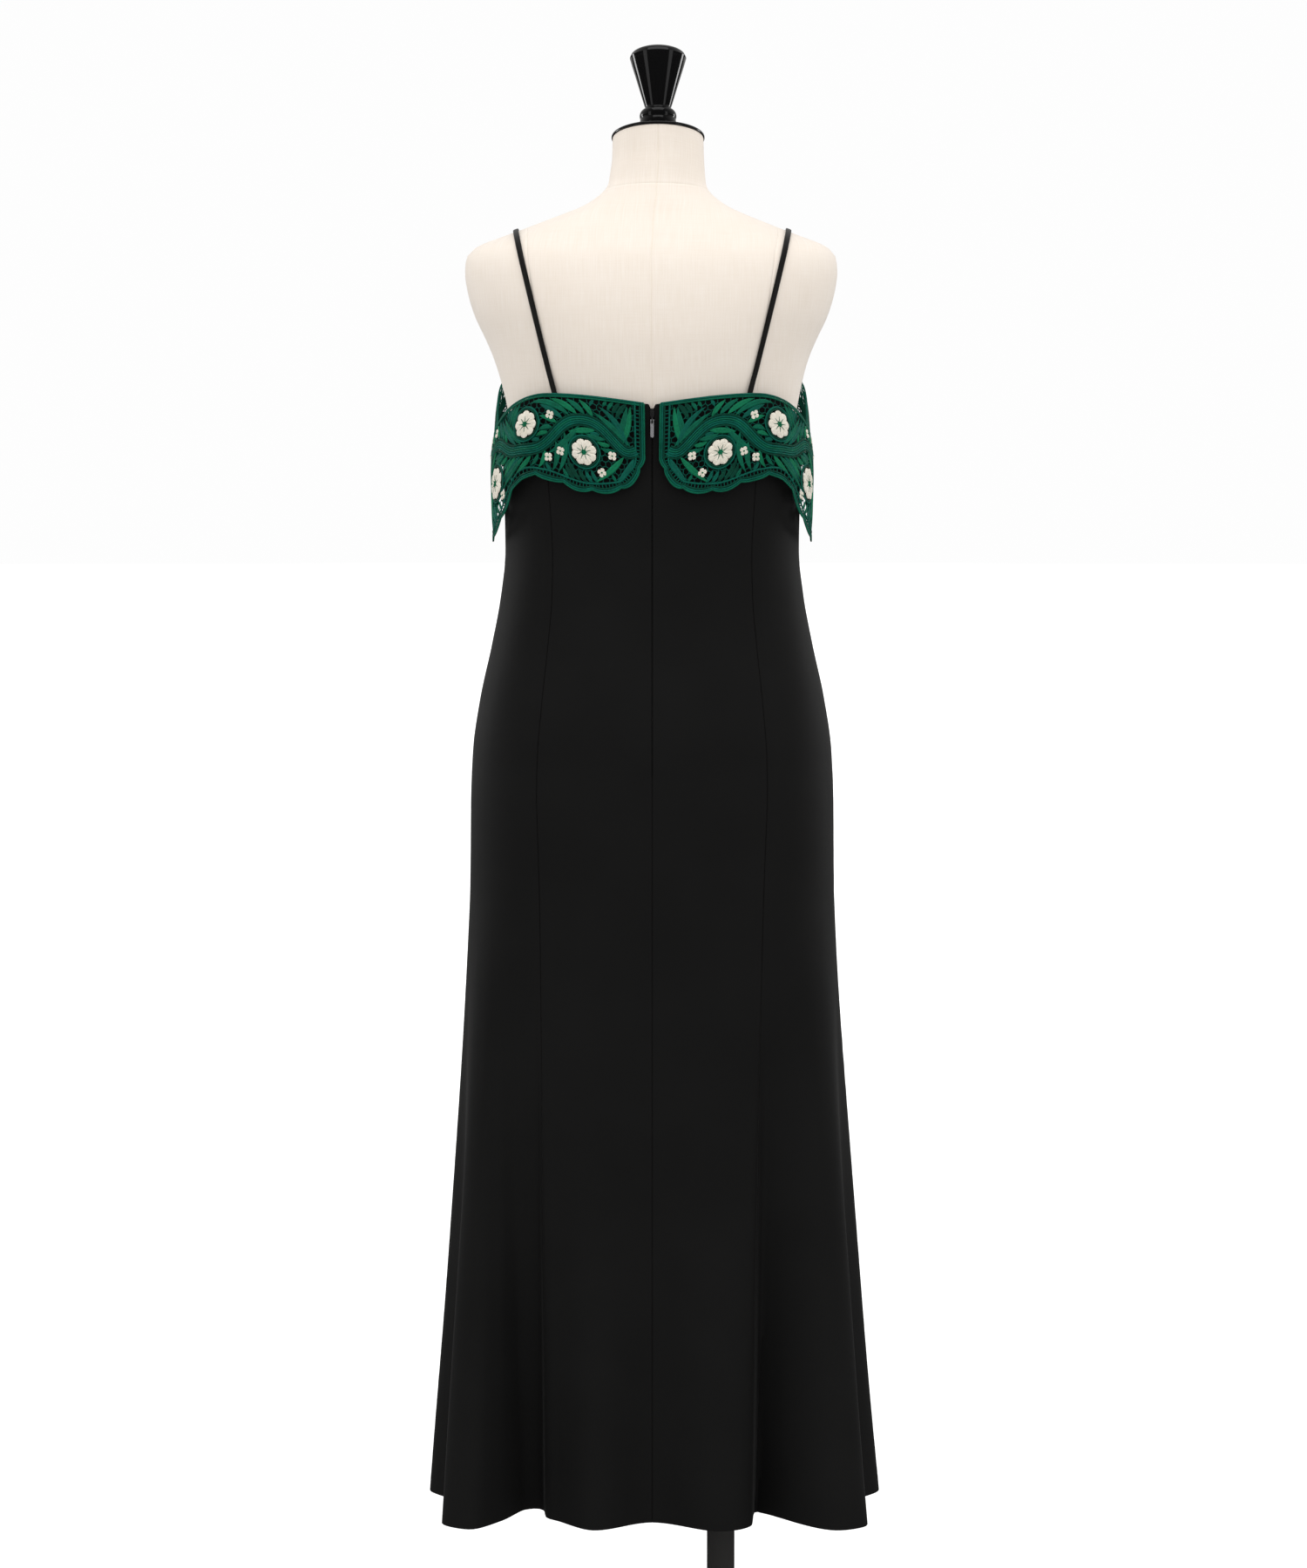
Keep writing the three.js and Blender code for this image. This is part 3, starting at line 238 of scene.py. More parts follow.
def lathe(name, profile, mat, segments=96, at=(0, 0, 0), sharp=32):
    """A closed solid of revolution about Z. The profile runs from the axis below to the axis above, or is a closed ring."""
    profile = np.asarray(profile, float)
    closed = np.allclose(profile[0], profile[-1])
    start_axis, end_axis = profile[0][0] < 1e-9, profile[-1][0] < 1e-9
    body = profile[:-1] if closed else profile[(1 if start_axis else 0):(len(profile) - 1 if end_axis else None)]
    t = np.arange(segments) / segments * 2 * math.pi
    rows = np.stack([body[:, 0, None] * np.cos(t), body[:, 0, None] * np.sin(t), np.repeat(body[:, 1, None], segments, 1)], -1)
    n = len(body)
    verts = rows.reshape(-1, 3)
    faces = grid_faces(n, segments, wrap=True)
    length = np.concatenate([[0], np.cumsum(np.linalg.norm(np.diff(body, axis=0), axis=1))])
    uv = np.stack([np.tile(t / (2 * math.pi) * 0.3, n), np.repeat(length / 1000, segments)], -1)
    if closed:
        i = np.arange(segments)
        j = (i + 1) % segments
        faces += np.stack([(n - 1) * segments + i, (n - 1) * segments + j, j, i], -1).tolist()
    else:
        low, high = len(verts), len(verts) + 1
        verts = np.vstack([verts, [[0, 0, profile[0][1]], [0, 0, profile[-1][1]]]])
        uv = np.vstack([uv, [[0, 0], [0, length[-1] / 1000]]])
        for i in range(segments):
            j = (i + 1) % segments
            faces.append([low, j, i])
            faces.append([high, (n - 1) * segments + i, (n - 1) * segments + j])
    return mesh_object(name, verts + np.array(at, float), faces, [mat], uv=uv, sharp=sharp)


def tube_rings(name, rings, mat, uv=None, sharp=60):
    """A closed tube through rings of points, with a fan at each end."""
    rings = np.asarray(rings, float)
    n, m, _ = rings.shape
    verts = np.vstack([rings.reshape(-1, 3), rings[0].mean(0), rings[-1].mean(0)])
    faces = grid_faces(n, m, wrap=True)
    a = n * m
    for c in range(m):
        d = (c + 1) % m
        faces.append([a, d, c])
        faces.append([a + 1, (n - 1) * m + c, (n - 1) * m + d])
    if uv is not None:
        uv = np.vstack([np.asarray(uv).reshape(-1, 2), [[0, 0], [0, 0]]])
    return mesh_object(name, verts, faces, [mat], uv=uv, sharp=sharp)


# ---------------------------------------------------------------- materials
def hexa(r, g, b):
    """Linear colour from display numbers of 0 to 255."""
    def lin(c):
        c /= 255
        return c / 12.92 if c <= 0.04045 else ((c + 0.055) / 1.055) ** 2.4
    return (lin(r), lin(g), lin(b), 1.0)


class Shader:
    """A material with a Principled shader and short ways to add nodes to it."""

    def __init__(self, name, color, roughness, **values):
        self.m = bpy.data.materials.new(name)
        self.m.use_nodes = True
        self.t = self.m.node_tree
        self.b = next(n for n in self.t.nodes if n.type == "BSDF_PRINCIPLED")
        self.set("Base Color", color)
        self.set("Roughness", roughness)
        for k, v in values.items():
            self.set(k.replace("_", " "), v)
        self.m.diffuse_color = color

    def set(self, socket, value):
        names = {"Specular": "Specular IOR Level", "Sheen": "Sheen Weight", "Coat": "Coat Weight"}
        self.b.inputs[names.get(socket, socket)].default_value = value

    def add(self, kind, **values):
        n = self.t.nodes.new(kind)
        for k, v in values.items():
            if hasattr(n, k):
                setattr(n, k, v)
            else:
                n.inputs[k.replace("_", " ")].default_value = v
        return n

    def link(self, a, b):
        self.t.links.new(a, b)

    def coords(self, kind="Object", scale=(1, 1, 1), rotation=(0, 0, 0)):
        c = self.add("ShaderNodeTexCoord")
        m = self.add("ShaderNodeMapping")
        m.inputs["Scale"].default_value = scale
        m.inputs["Rotation"].default_value = rotation
        self.link(c.outputs[kind], m.inputs["Vector"])
        return m.outputs["Vector"]

    def noise(self, vector, scale, detail=2.0, roughness=0.5):
        n = self.add("ShaderNodeTexNoise", Scale=scale, Detail=detail, Roughness=roughness)
        self.link(vector, n.inputs["Vector"])
        return n.outputs["Fac"]

    def wave(self, vector, period, direction="X", distortion=0.0):
        n = self.add("ShaderNodeTexWave", wave_type="BANDS", bands_direction=direction, wave_profile="SIN",
                     Scale=math.pi / 10 / period, Distortion=distortion, Detail=0.0)
        self.link(vector, n.inputs["Vector"])
        return n.outputs["Fac"]

    def math(self, op, a, b=None, c=None):
        n = self.add("ShaderNodeMath", operation=op)
        for i, x in enumerate((a, b, c)):
            if x is None:
                continue
            if isinstance(x, (int, float)):
                n.inputs[i].default_value = x
            else:
                self.link(x, n.inputs[i])
        return n.outputs[0]

    def ramp(self, fac, *stops):
        n = self.add("ShaderNodeValToRGB")
        e = n.color_ramp.elements
        while len(e) < len(stops):
            e.new(0.5)
        for el, (p, c) in zip(e, stops):
            el.position, el.color = p, c
        self.link(fac, n.inputs["Fac"])
        return n.outputs["Color"]

    def bump(self, height, strength, distance, after=None):
        n = self.add("ShaderNodeBump", Strength=strength, Distance=distance)
        self.link(height, n.inputs["Height"])
        if after is not None:
            self.link(after, n.inputs["Normal"])
        return n.outputs["Normal"]

    def span(self, fac, low, high):
        n = self.add("ShaderNodeMapRange")
        n.inputs["To Min"].default_value = low
        n.inputs["To Max"].default_value = high
        self.link(fac, n.inputs["Value"])
        return n.outputs["Result"]


def crepe():
    s = Shader("crepe", (0.0088, 0.0088, 0.0089, 1), 0.6, Specular=0.08, Sheen=0.042, Sheen_Roughness=0.35)
    at = s.coords("Object")
    grain = s.noise(at, 1500, 3, 0.6)
    twist = s.noise(s.coords("Object", (1, 1, 0.35)), 2600, 1)
    soft = s.noise(at, 11, 2)
    s.link(s.ramp(soft, (0.25, (0.0081, 0.0081, 0.0081, 1)), (0.75, (0.0095, 0.0095, 0.0095, 1))), s.b.inputs["Base Color"])
    s.link(s.span(grain, 0.54, 0.66), s.b.inputs["Roughness"])
    n = s.bump(grain, 0.22, 0.0002)
    s.link(s.bump(twist, 0.18, 0.00015, n), s.b.inputs["Normal"])
    return s.m


def satin():
    s = Shader("strap_satin", (0.011, 0.0104, 0.0098, 1), 0.38, Specular=0.2)
    uv = s.coords("UV")
    rib = s.wave(uv, 0.0007, "Y")
    fine = s.noise(s.coords("UV", (1, 8, 1)), 900, 2)
    s.link(s.span(fine, 0.30, 0.42), s.b.inputs["Roughness"])
    s.link(s.bump(rib, 0.10, 0.0001), s.b.inputs["Normal"])
    return s.m


def thread(name, dark, light):
    """Satin-stitched thread: fine slanting stitches across the cord, mirrored at a leaf's vein."""
    s = Shader(name, light, 0.55, Specular=0.14)
    c = s.add("ShaderNodeTexCoord")
    x = s.add("ShaderNodeSeparateXYZ")
    s.link(c.outputs["UV"], x.inputs[0])
    slant = s.math("SUBTRACT", x.outputs["X"], s.math("MULTIPLY", s.math("ABSOLUTE", x.outputs["Y"]), 0.9))
    v = s.add("ShaderNodeCombineXYZ")
    s.link(slant, v.inputs["X"])
    stitch = s.wave(v.outputs[0], 0.00075, "X")
    cloud = s.noise(s.coords("Object"), 95, 3)
    fleck = s.noise(s.coords("Object"), 520, 2)
    # The colour follows the stitch wave as well as the bump, darker in the grooves between stitches: painted shade. The
    # cloud and the flecks are random tone in the thread.
    both = s.math("ADD", s.math("MULTIPLY", stitch, 0.3), s.math("MULTIPLY", cloud, 0.4))
    both = s.math("ADD", both, s.math("MULTIPLY", fleck, 0.3))
    s.link(s.ramp(both, (0.3, dark), (0.68, light)), s.b.inputs["Base Color"])
    s.link(s.bump(stitch, 0.6, 0.0002, s.bump(fleck, 0.5, 0.0004)), s.b.inputs["Normal"])
    return s.m


def woven_tape():
    s = Shader("zip_tape", (0.006, 0.006, 0.006, 1), 0.7, Specular=0.25)
    uv = s.coords("UV", rotation=(0, 0, 0.6))
    s.link(s.bump(s.wave(uv, 0.0008, "X"), 0.4, 0.0002), s.b.inputs["Normal"])
    s.link(s.ramp(s.noise(s.coords("Object"), 300, 2), (0.3, (0.004, 0.004, 0.004, 1)), (0.7, (0.008, 0.008, 0.008, 1))), s.b.inputs["Base Color"])
    return s.m


def linen():
    s = Shader("form_linen", hexa(240, 232, 221), 0.85, Specular=0.15, Sheen=0.3, Sheen_Roughness=0.5)
    uv = s.coords("UV")
    warp = s.wave(uv, 0.00062, "X", 0.6)
    weft = s.wave(uv, 0.00066, "Y", 0.6)
    slub_v = s.noise(s.coords("UV", (900, 34, 1)), 1, 3)
    slub_h = s.noise(s.coords("UV", (34, 860, 1)), 1, 3)
    blotch = s.noise(s.coords("Object"), 24, 3)
    tone = s.math("ADD", s.math("MULTIPLY", slub_v, 0.56), s.math("MULTIPLY", slub_h, 0.24))
    tone = s.math("ADD", tone, s.math("MULTIPLY", blotch, 0.2))
    # The centre back seam is a little golden.
    side = s.add("ShaderNodeSeparateXYZ")
    s.link(uv, side.inputs[0])
    seam = s.math("LESS_THAN", s.math("ABSOLUTE", side.outputs["X"]), 0.00045)
    tone = s.math("SUBTRACT", tone, s.math("MULTIPLY", seam, 0.16))
    s.link(s.ramp(tone, (0.0, hexa(206, 190, 166)), (0.28, hexa(236, 225, 212)), (0.50, hexa(241, 231, 220)), (0.74, hexa(246, 238, 229))), s.b.inputs["Base Color"])
    weave = s.math("ADD", s.math("MULTIPLY", warp, 0.5), s.math("MULTIPLY", weft, 0.5))
    n = s.bump(weave, 0.22, 0.00016)
    s.link(s.bump(tone, 0.16, 0.0003, n), s.b.inputs["Normal"])
    return s.m


def lacquer():
    s = Shader("gloss_black", (0.004, 0.004, 0.0042, 1), 0.07, Specular=0.5)
    s.link(s.span(s.noise(s.coords("Object"), 60, 3), 0.05, 0.10), s.b.inputs["Roughness"])
    s.link(s.bump(s.noise(s.coords("Object"), 130, 2), 0.02, 0.0004), s.b.inputs["Normal"])
    return s.m


def powder():
    s = Shader("stand_metal", (0.036, 0.035, 0.034, 1), 0.36, Specular=0.5)
    s.link(s.bump(s.noise(s.coords("Object"), 900, 2), 0.10, 0.0002), s.b.inputs["Normal"])
    s.link(s.span(s.noise(s.coords("Object"), 30, 3), 0.32, 0.42), s.b.inputs["Roughness"])
    return s.m


def gunmetal(name, tone):
    s = Shader(name, (tone, tone, tone * 1.04, 1), 0.26, Metallic=0.6)
    s.link(s.span(s.noise(s.coords("Object", (1, 1, 6)), 900, 2), 0.2, 0.36), s.b.inputs["Roughness"])
    return s.m


CREPE, SATIN, LINEN, GLOSS, POWDER, TAPE = crepe(), satin(), linen(), lacquer(), powder(), woven_tape()
DARK_ZINC, ZINC = gunmetal("zip_metal_dark", 0.045), gunmetal("zip_metal_bright", 0.55)
LACE_MATS = [
    thread("lace_teal", hexa(0, 72, 60), hexa(0, 108, 90)),
    thread("lace_emerald", hexa(0, 76, 56), hexa(2, 114, 86)),
    thread("lace_leaf", hexa(2, 88, 56), hexa(14, 134, 94)),
    thread("lace_forest", hexa(0, 50, 40), hexa(0, 80, 60)),
    thread("lace_ivory", hexa(224, 216, 198), hexa(249, 245, 234)),
]
TEAL, EMERALD, LEAF, FOREST, IVORY = range(5)


def place(o, slot, *nodes):
    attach(o, BODY)
    if nodes:
        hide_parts(*nodes)
    return o


# ---------------------------------------------------------------- gores of the dress
def softness(s, z):
    """Slow unevenness of hung cloth, in millimetres, the same on both sides of a seam."""
    rows = [(3, 610, 0.4, 0.16), (5, 430, 1.9, 0.14), (8, 330, 4.1, 0.10), (11, 520, 2.2, 0.08), (17, 240, 5.3, 0.05)]
    out = 0
    for turns, tall, phase, size in rows:
        out = out + size * np.sin(2 * math.pi * (turns * s / 8 + z / tall) + phase)
    return out * 1.4


def pucker(e, z, seed):
    """Small puckers along a seam, dying out away from it."""
    rng = np.random.default_rng(seed)
    out = 0
    for k in range(5):
        tall = rng.uniform(13, 34)
        out = out + rng.uniform(0.4, 1.0) * np.sin(2 * math.pi * z / tall + rng.uniform(0, 6.28))
    return out / 3 * np.exp(-e / 6.5) * (1 - np.exp(-e / 1.2))


def rounded(e, reach, depth):
    """How far an edge falls away at distance e from it."""
    k = np.clip(1 - e / reach, 0, 1)
    return depth * (1 - np.sqrt(np.clip(1 - k * k, 0, 1)))


def gore(name, node, s0, s1, step=5.6):
    low = [0, 0.25, 0.7, 1.6, 3.6]
    high = [3.2, 1.5, 0.7, 0.25, 0]
    body = np.arange(HEM_Z + 8, 1256, 6.0)
    upper = np.concatenate([np.arange(1262, 1312, 5.0), [1312.5, 1314.4, 1315.6, 1316.4]])
    nominal = np.concatenate([HEM_Z + np.array(low), body, upper, 1320 - np.array(high)])
    share = np.concatenate([np.zeros(len(low) + len(body)), (upper - 1262) / 58, np.ones(len(high))])
    off = np.concatenate([np.zeros(len(low) + len(body) + len(upper)), high])
    nr = len(nominal)
    fine = np.linspace(s0, s1, 161)
    x, y = dress_xy(fine[None, :], nominal[:, None])
    seg = np.hypot(np.diff(x, axis=1), np.diff(y, axis=1))
    length = np.concatenate([np.zeros((nr, 1)), np.cumsum(seg, axis=1)], axis=1)
    gap = 0.0
    near = np.array([0, 0.3, 0.75, 1.4, 3.0, 6.0])
    mid = max(8, int(round(length[:, -1].max() / step)))
    s = np.empty((nr, 2 * len(near) + mid - 1))
    el, er = np.empty_like(s), np.empty_like(s)
    for r in range(nr):
        total = length[r, -1]
        # The zip's edges roll in and part a little; below it the seam is closed.
        part = float(notch_at(nominal[r])) if nominal[r] > 1288 else 0.0
        part = max(part, 0.26 * float(np.clip((nominal[r] - ZIP["foot"] - 12) / 8, 0, 1)))
        a = gap + (part if s0 == 0 else 0)
        b = total - gap - (part if s1 == 8 else 0)
        pos = np.concatenate([a + near, np.linspace(a + 6, b - 6, mid + 1)[1:-1], b - near[::-1]])
        s[r] = np.interp(pos, length[r], fine)
        el[r], er[r] = pos - a, b - pos
    top = cloth_edge(s)
    z = np.where(share[:, None] > 0, 1262 + (top - 1262) * share[:, None] - off[:, None], nominal[:, None])
    p, n = dress_point(s, z)
    e = np.minimum(el, er)
    # Pressed-open allowances lie behind both sides of a seam.
    ridge = 0.16 * (1 / (1 + np.exp((e - 10.5) / 0.9)))
    at_zip = (1 / (1 + np.exp((ZIP["foot"] + 12 - z) / 8.0)))
    size_l = 0.16 + (0.22 * at_zip if s0 == 0 else 0)
    size_r = 0.16 + (0.22 * at_zip if s1 == 8 else 0)
    move = softness(s, z) + ridge
    move = move + size_l * pucker(el, z, 11 * int(round(s0)) + 3) + size_r * pucker(er, z, 11 * (int(round(s1)) % 8) + 3)
    from_hem, from_top = z - HEM_Z, top - z
    if s0 == 0 or s1 == 8:
        ez = el if s0 == 0 else er
        move = move - 0.5 * np.exp(-((z - ZIP["foot"] - 14) / 5) ** 2) * np.exp(-ez / 4)
        move = move - 0.35 * rounded(ez, 2.6, 1.0) * at_zip
    fall = rounded(e, 1.35, 0.98) + rounded(from_hem, 1.1, 0.5) + rounded(from_top, 0.9, 0.45)
    under = rounded(from_hem, 0.8, 0.35) + rounded(from_top, 0.8, 0.35)
    outer = p + n * (move - np.minimum(fall, 0.98))[..., None]
    inner = p + n * (move - WALL + np.minimum(under, 0.3))[..., None]
    nc = s.shape[1]
    verts = np.vstack([outer.reshape(-1, 3), inner.reshape(-1, 3)])
    k = nr * nc
    # Rows run upwards and columns towards the wearer's left, so the grid is turned over for the outside.
    faces = grid_faces(nr, nc, flip=True) + grid_faces(nr, nc, base=k)
    for c in range(nc - 1):
        faces.append([c, c + 1, k + c + 1, k + c])
        a = (nr - 1) * nc + c
        faces.append([a + 1, a, k + a, k + a + 1])
    for r in range(nr - 1):
        a, b = r * nc, (r + 1) * nc
        faces.append([b, a, k + a, k + b])
        a, b = a + nc - 1, b + nc - 1
        faces.append([a, b, k + b, k + a])
    across = np.concatenate([np.zeros((nr, 1)), np.cumsum(np.linalg.norm(np.diff(p, axis=1), axis=-1), axis=1)], axis=1)
    uv = np.stack([across / 1000, z / 1000], -1).reshape(-1, 2)
    o = mesh_object(name, verts, faces, [CREPE], uv=np.vstack([uv, uv]), sharp=50)
    place(o, "crepe", node)
    o["cut_width_mm"] = float(length[:, -1].max())
    rise = np.linalg.norm(np.diff(p, axis=0), axis=-1).sum(0)
    o["cut_length_mm"] = float(rise.max())
    quad = p
    cell = np.linalg.norm(np.cross(quad[1:, :-1] - quad[:-1, :-1], quad[:-1, 1:] - quad[:-1, :-1]), axis=-1)
    o["cut_area_m2"] = float(cell.sum() / 1e6)
    return o


GORES = [
    ("crepe_centre_back_left", "dress_centre_back_left", 0, 1),
    ("crepe_side_back_left", "dress_side_back_left", 1, 2),
    ("crepe_side_front_left", "dress_side_front_left", 2, 3),
    ("crepe_centre_front", "dress_centre_front", 3, 5),
    ("crepe_side_front_right", "dress_side_front_right", 5, 6),
    ("crepe_side_back_right", "dress_side_back_right", 6, 7),
    ("crepe_centre_back_right", "dress_centre_back_right", 7, 8),
]
gores = {}
for row in GORES:
    gores[row[0]] = gore(*row)


# ---------------------------------------------------------------- lace flounce
def lace_point(s, v):
    top = edge_at(s) + 1
    z = top - drop_at(s) * v
    p, n = dress_point(s, np.minimum(z, edge_at(s)))
    p = np.stack([p[..., 0], p[..., 1], z], -1)
    flat = n.copy()
    flat[..., 2] = 0
    flat = unit(flat)
    vv = np.clip(v, 0, 1)
    lift = LACE_FOOT + (stand_at(s) - LACE_FOOT) * (1 - (1 - vv) ** roll_at(s))
    return p + flat * lift[..., None]


_s = np.linspace(0.07, 4, 1500)
_p = lace_point(_s, np.full_like(_s, 0.3))
_u = np.concatenate([[0], np.cumsum(np.linalg.norm(np.diff(_p, axis=0), axis=1))])
HALF = float(_u[-1])                      # from the zip to the centre front
SIDE = float(np.interp(2, _s, _u))        # the side seam


def lace_s(u):
    return np.interp(u, _u, _s)


def lace_xyz(uwh):
    """Points (along, down, out) of the left half of the lace, in millimetres."""
    u, w, h = uwh[:, 0], uwh[:, 1], uwh[:, 2]

    def at(a, b):
        s = lace_s(np.clip(a, 0, HALF))
        q = lace_point(s, b / drop_at(s))
        return q

    u2 = np.clip(u, 0.3, HALF - 0.3)
    p = at(u, w)
    du = at(u2 + 0.3, w) - at(u2 - 0.3, w)
    dw = at(u, w + 0.3) - at(u, w - 0.3)
    n = unit(np.cross(du, dw))
    # Past the centre front the pattern runs on straight.
    over = np.clip(u - HALF, 0, None)[:, None] * unit(du)
    return p + over + n * h[:, None]


def drop_u(u):
    return drop_at(lace_s(np.clip(u, 0, HALF)))


class Pattern:
    """Gathers raised elements of the lace, in (along, down, out) space."""

    def __init__(self):
        self.v, self.f, self.m, self.uv, self.n = [], [], [], [], 0

    def rings(self, rings, mat, uv, loop=False, cap=True):
        n, m, _ = rings.shape
        b = self.n
        self.v.append(rings.reshape(-1, 3))
        self.uv.append(uv.reshape(-1, 2))
        f = grid_faces(n, m, base=b, wrap=True)
        if loop:
            i = np.arange(m)
            j = (i + 1) % m
            f += (np.stack([(n - 1) * m + i, (n - 1) * m + j, j, i], -1) + b).tolist()
        self.n += n * m
        if cap and not loop:
            self.v.append(np.stack([rings[0].mean(0), rings[-1].mean(0)]))
            self.uv.append(np.zeros((2, 2)))
            for c in range(m):
                d = (c + 1) % m
                f.append([self.n, b + d, b + c])
                f.append([self.n + 1, b + (n - 1) * m + c, b + (n - 1) * m + d])
            self.n += 2
        self.f += f
        self.m += [mat] * len(f)

    def along(self, path, across, high, out, mat, section, loop=False, cap=True):
        """A section swept along a path of (along, down) points; across and high are its half width and height at each."""
        path = np.asarray(path, float)
        t = (np.roll(path, -1, 0) - np.roll(path, 1, 0)) if loop else np.gradient(path, axis=0)
        t = unit(t)
        perp = np.stack([-t[:, 1], t[:, 0]], -1)
        across, high, out = (np.broadcast_to(np.asarray(k, float), (len(path),)) for k in (across, high, out))
        sec = np.asarray(section, float)
        xy = path[:, None, :] + perp[:, None, :] * (sec[None, :, 0:1] * across[:, None, None])
        h = out[:, None] + sec[None, :, 1] * high[:, None]
        run = np.concatenate([[0], np.cumsum(np.linalg.norm(np.diff(path, axis=0), axis=1))])
        uv = np.stack([np.repeat(run[:, None], len(sec), 1), sec[None, :, 0] * across[:, None]], -1) / 1000
        self.rings(np.concatenate([xy, h[..., None]], -1), mat, uv, loop, cap)


HEX6 = [(math.cos(a), math.sin(a)) for a in np.arange(6) * math.pi / 3]
SQ4 = [(1, 0), (0, 1), (-1, 0), (0, -1)]
SATIN8 = [(1, 0), (0.74, 0.78), (0.34, 1.0), (0, 0.45), (-0.34, 1.0), (-0.74, 0.78), (-1, 0), (0, -0.4)]
DOME7 = [(1, 0), (0.78, 0.7), (0.3, 1.0), (-0.3, 1.0), (-0.78, 0.7), (-1, 0), (0, -0.4)]


def resample(path, step):
    path = np.asarray(path, float)
    run = np.concatenate([[0], np.cumsum(np.linalg.norm(np.diff(path, axis=0), axis=1))])
    n = max(2, int(round(run[-1] / step)) + 1)
    t = np.linspace(0, run[-1], n)
    return np.stack([np.interp(t, run, path[:, 0]), np.interp(t, run, path[:, 1])], -1)


def cord(pat, path, r, out, mat, step=1.7, sides=HEX6, loop=False, flat=0.85):
    path = resample(path, step)
    if loop:
        path = path[:-1]
    pat.along(path, r, r * flat, out, mat, sides, loop=loop)


def leaf_path(base, heading, length, bend, n=10):
    t = np.linspace(0, 1, n)
    a = heading + bend * t
    step = np.stack([np.cos(a), np.sin(a)], -1) * length / (n - 1)
    return np.asarray(base) + np.vstack([[0, 0], np.cumsum(step[:-1], axis=0)])


def leaf(pat, base, heading, length, width, bend, mat, out=1.0, high=0.95, section=SATIN8, n=10, tip=0.85):
    path = leaf_path(base, heading, length, bend, n)
    t = np.linspace(0, 1, n)
    shape = np.sin(math.pi * np.clip(t, 0, 1) ** tip) ** 0.8
    shape = np.clip(shape, 0.06, 1)
    pat.along(path, width / 2 * shape, high * (0.35 + 0.65 * shape), out, mat, section)


TOP_BAND, LOW_BAND = 4.6, 12.4
WAVES = 4                                 # waves of the vine from the zip to the centre front


def blossom(pat, c, radius, turn=0.0, petals=8):
    for k in range(petals):
        a = turn + 2 * math.pi * k / petals
        n = 9
        t = np.linspace(0, 1, n)
        rr = radius * (0.14 + 0.86 * t)
        path = np.asarray(c) + np.stack([np.cos(a) * rr, np.sin(a) * rr], -1)
        wide = radius * (2.64 / petals) * np.interp(t, [0, 0.2, 0.55, 0.8, 0.93, 1], [0.28, 0.52, 0.88, 1.0, 0.8, 0.3])
        pat.along(path, wide, 0.75 + 0.35 * np.sin(math.pi * t), 1.6 + 0.25 * np.sin(math.pi * t), IVORY, SATIN8)
        # A green vein stitched up each petal.
        vein = np.asarray(c) + np.stack([np.cos(a) * rr, np.sin(a) * rr], -1)[1:5]
        pat.along(vein, np.array([0.5, 0.44, 0.32, 0.15]), 0.4, 2.45, EMERALD, SQ4)
    for k in range(7):
        a = 2 * math.pi * k / 6
        q = np.asarray(c) + (0 if k == 6 else radius * 0.15) * np.array([math.cos(a), math.sin(a)])
        t = np.linspace(-1, 1, 5)
        path = q + np.stack([t * radius * 0.085, np.zeros(5)], -1)
        pat.along(path, radius * 0.085 * np.sqrt(np.clip(1 - t * t, 0.05, 1)), 0.9, 2.4, LEAF, HEX6)


def floret(pat, c, radius, turn):
    """A small flower of four rounded petals."""
    for k in range(4):
        a = turn + math.pi * k / 2
        t = np.linspace(0, 1, 6)
        rr = radius * (0.1 + 0.9 * t)
        path = np.asarray(c) + np.stack([np.cos(a) * rr, np.sin(a) * rr], -1)
        wide = radius * 0.52 * np.interp(t, [0, 0.3, 0.7, 0.9, 1], [0.25, 0.75, 1.0, 0.75, 0.3])
        pat.along(path, wide, 0.9, 1.5, IVORY, SATIN8)
    t = np.linspace(-1, 1, 5)
    path = np.asarray(c) + np.stack([t * radius * 0.2, np.zeros(5)], -1)
    pat.along(path, radius * 0.2 * np.sqrt(np.clip(1 - t * t, 0.05, 1)), 0.9, 2.1, LEAF, HEX6)


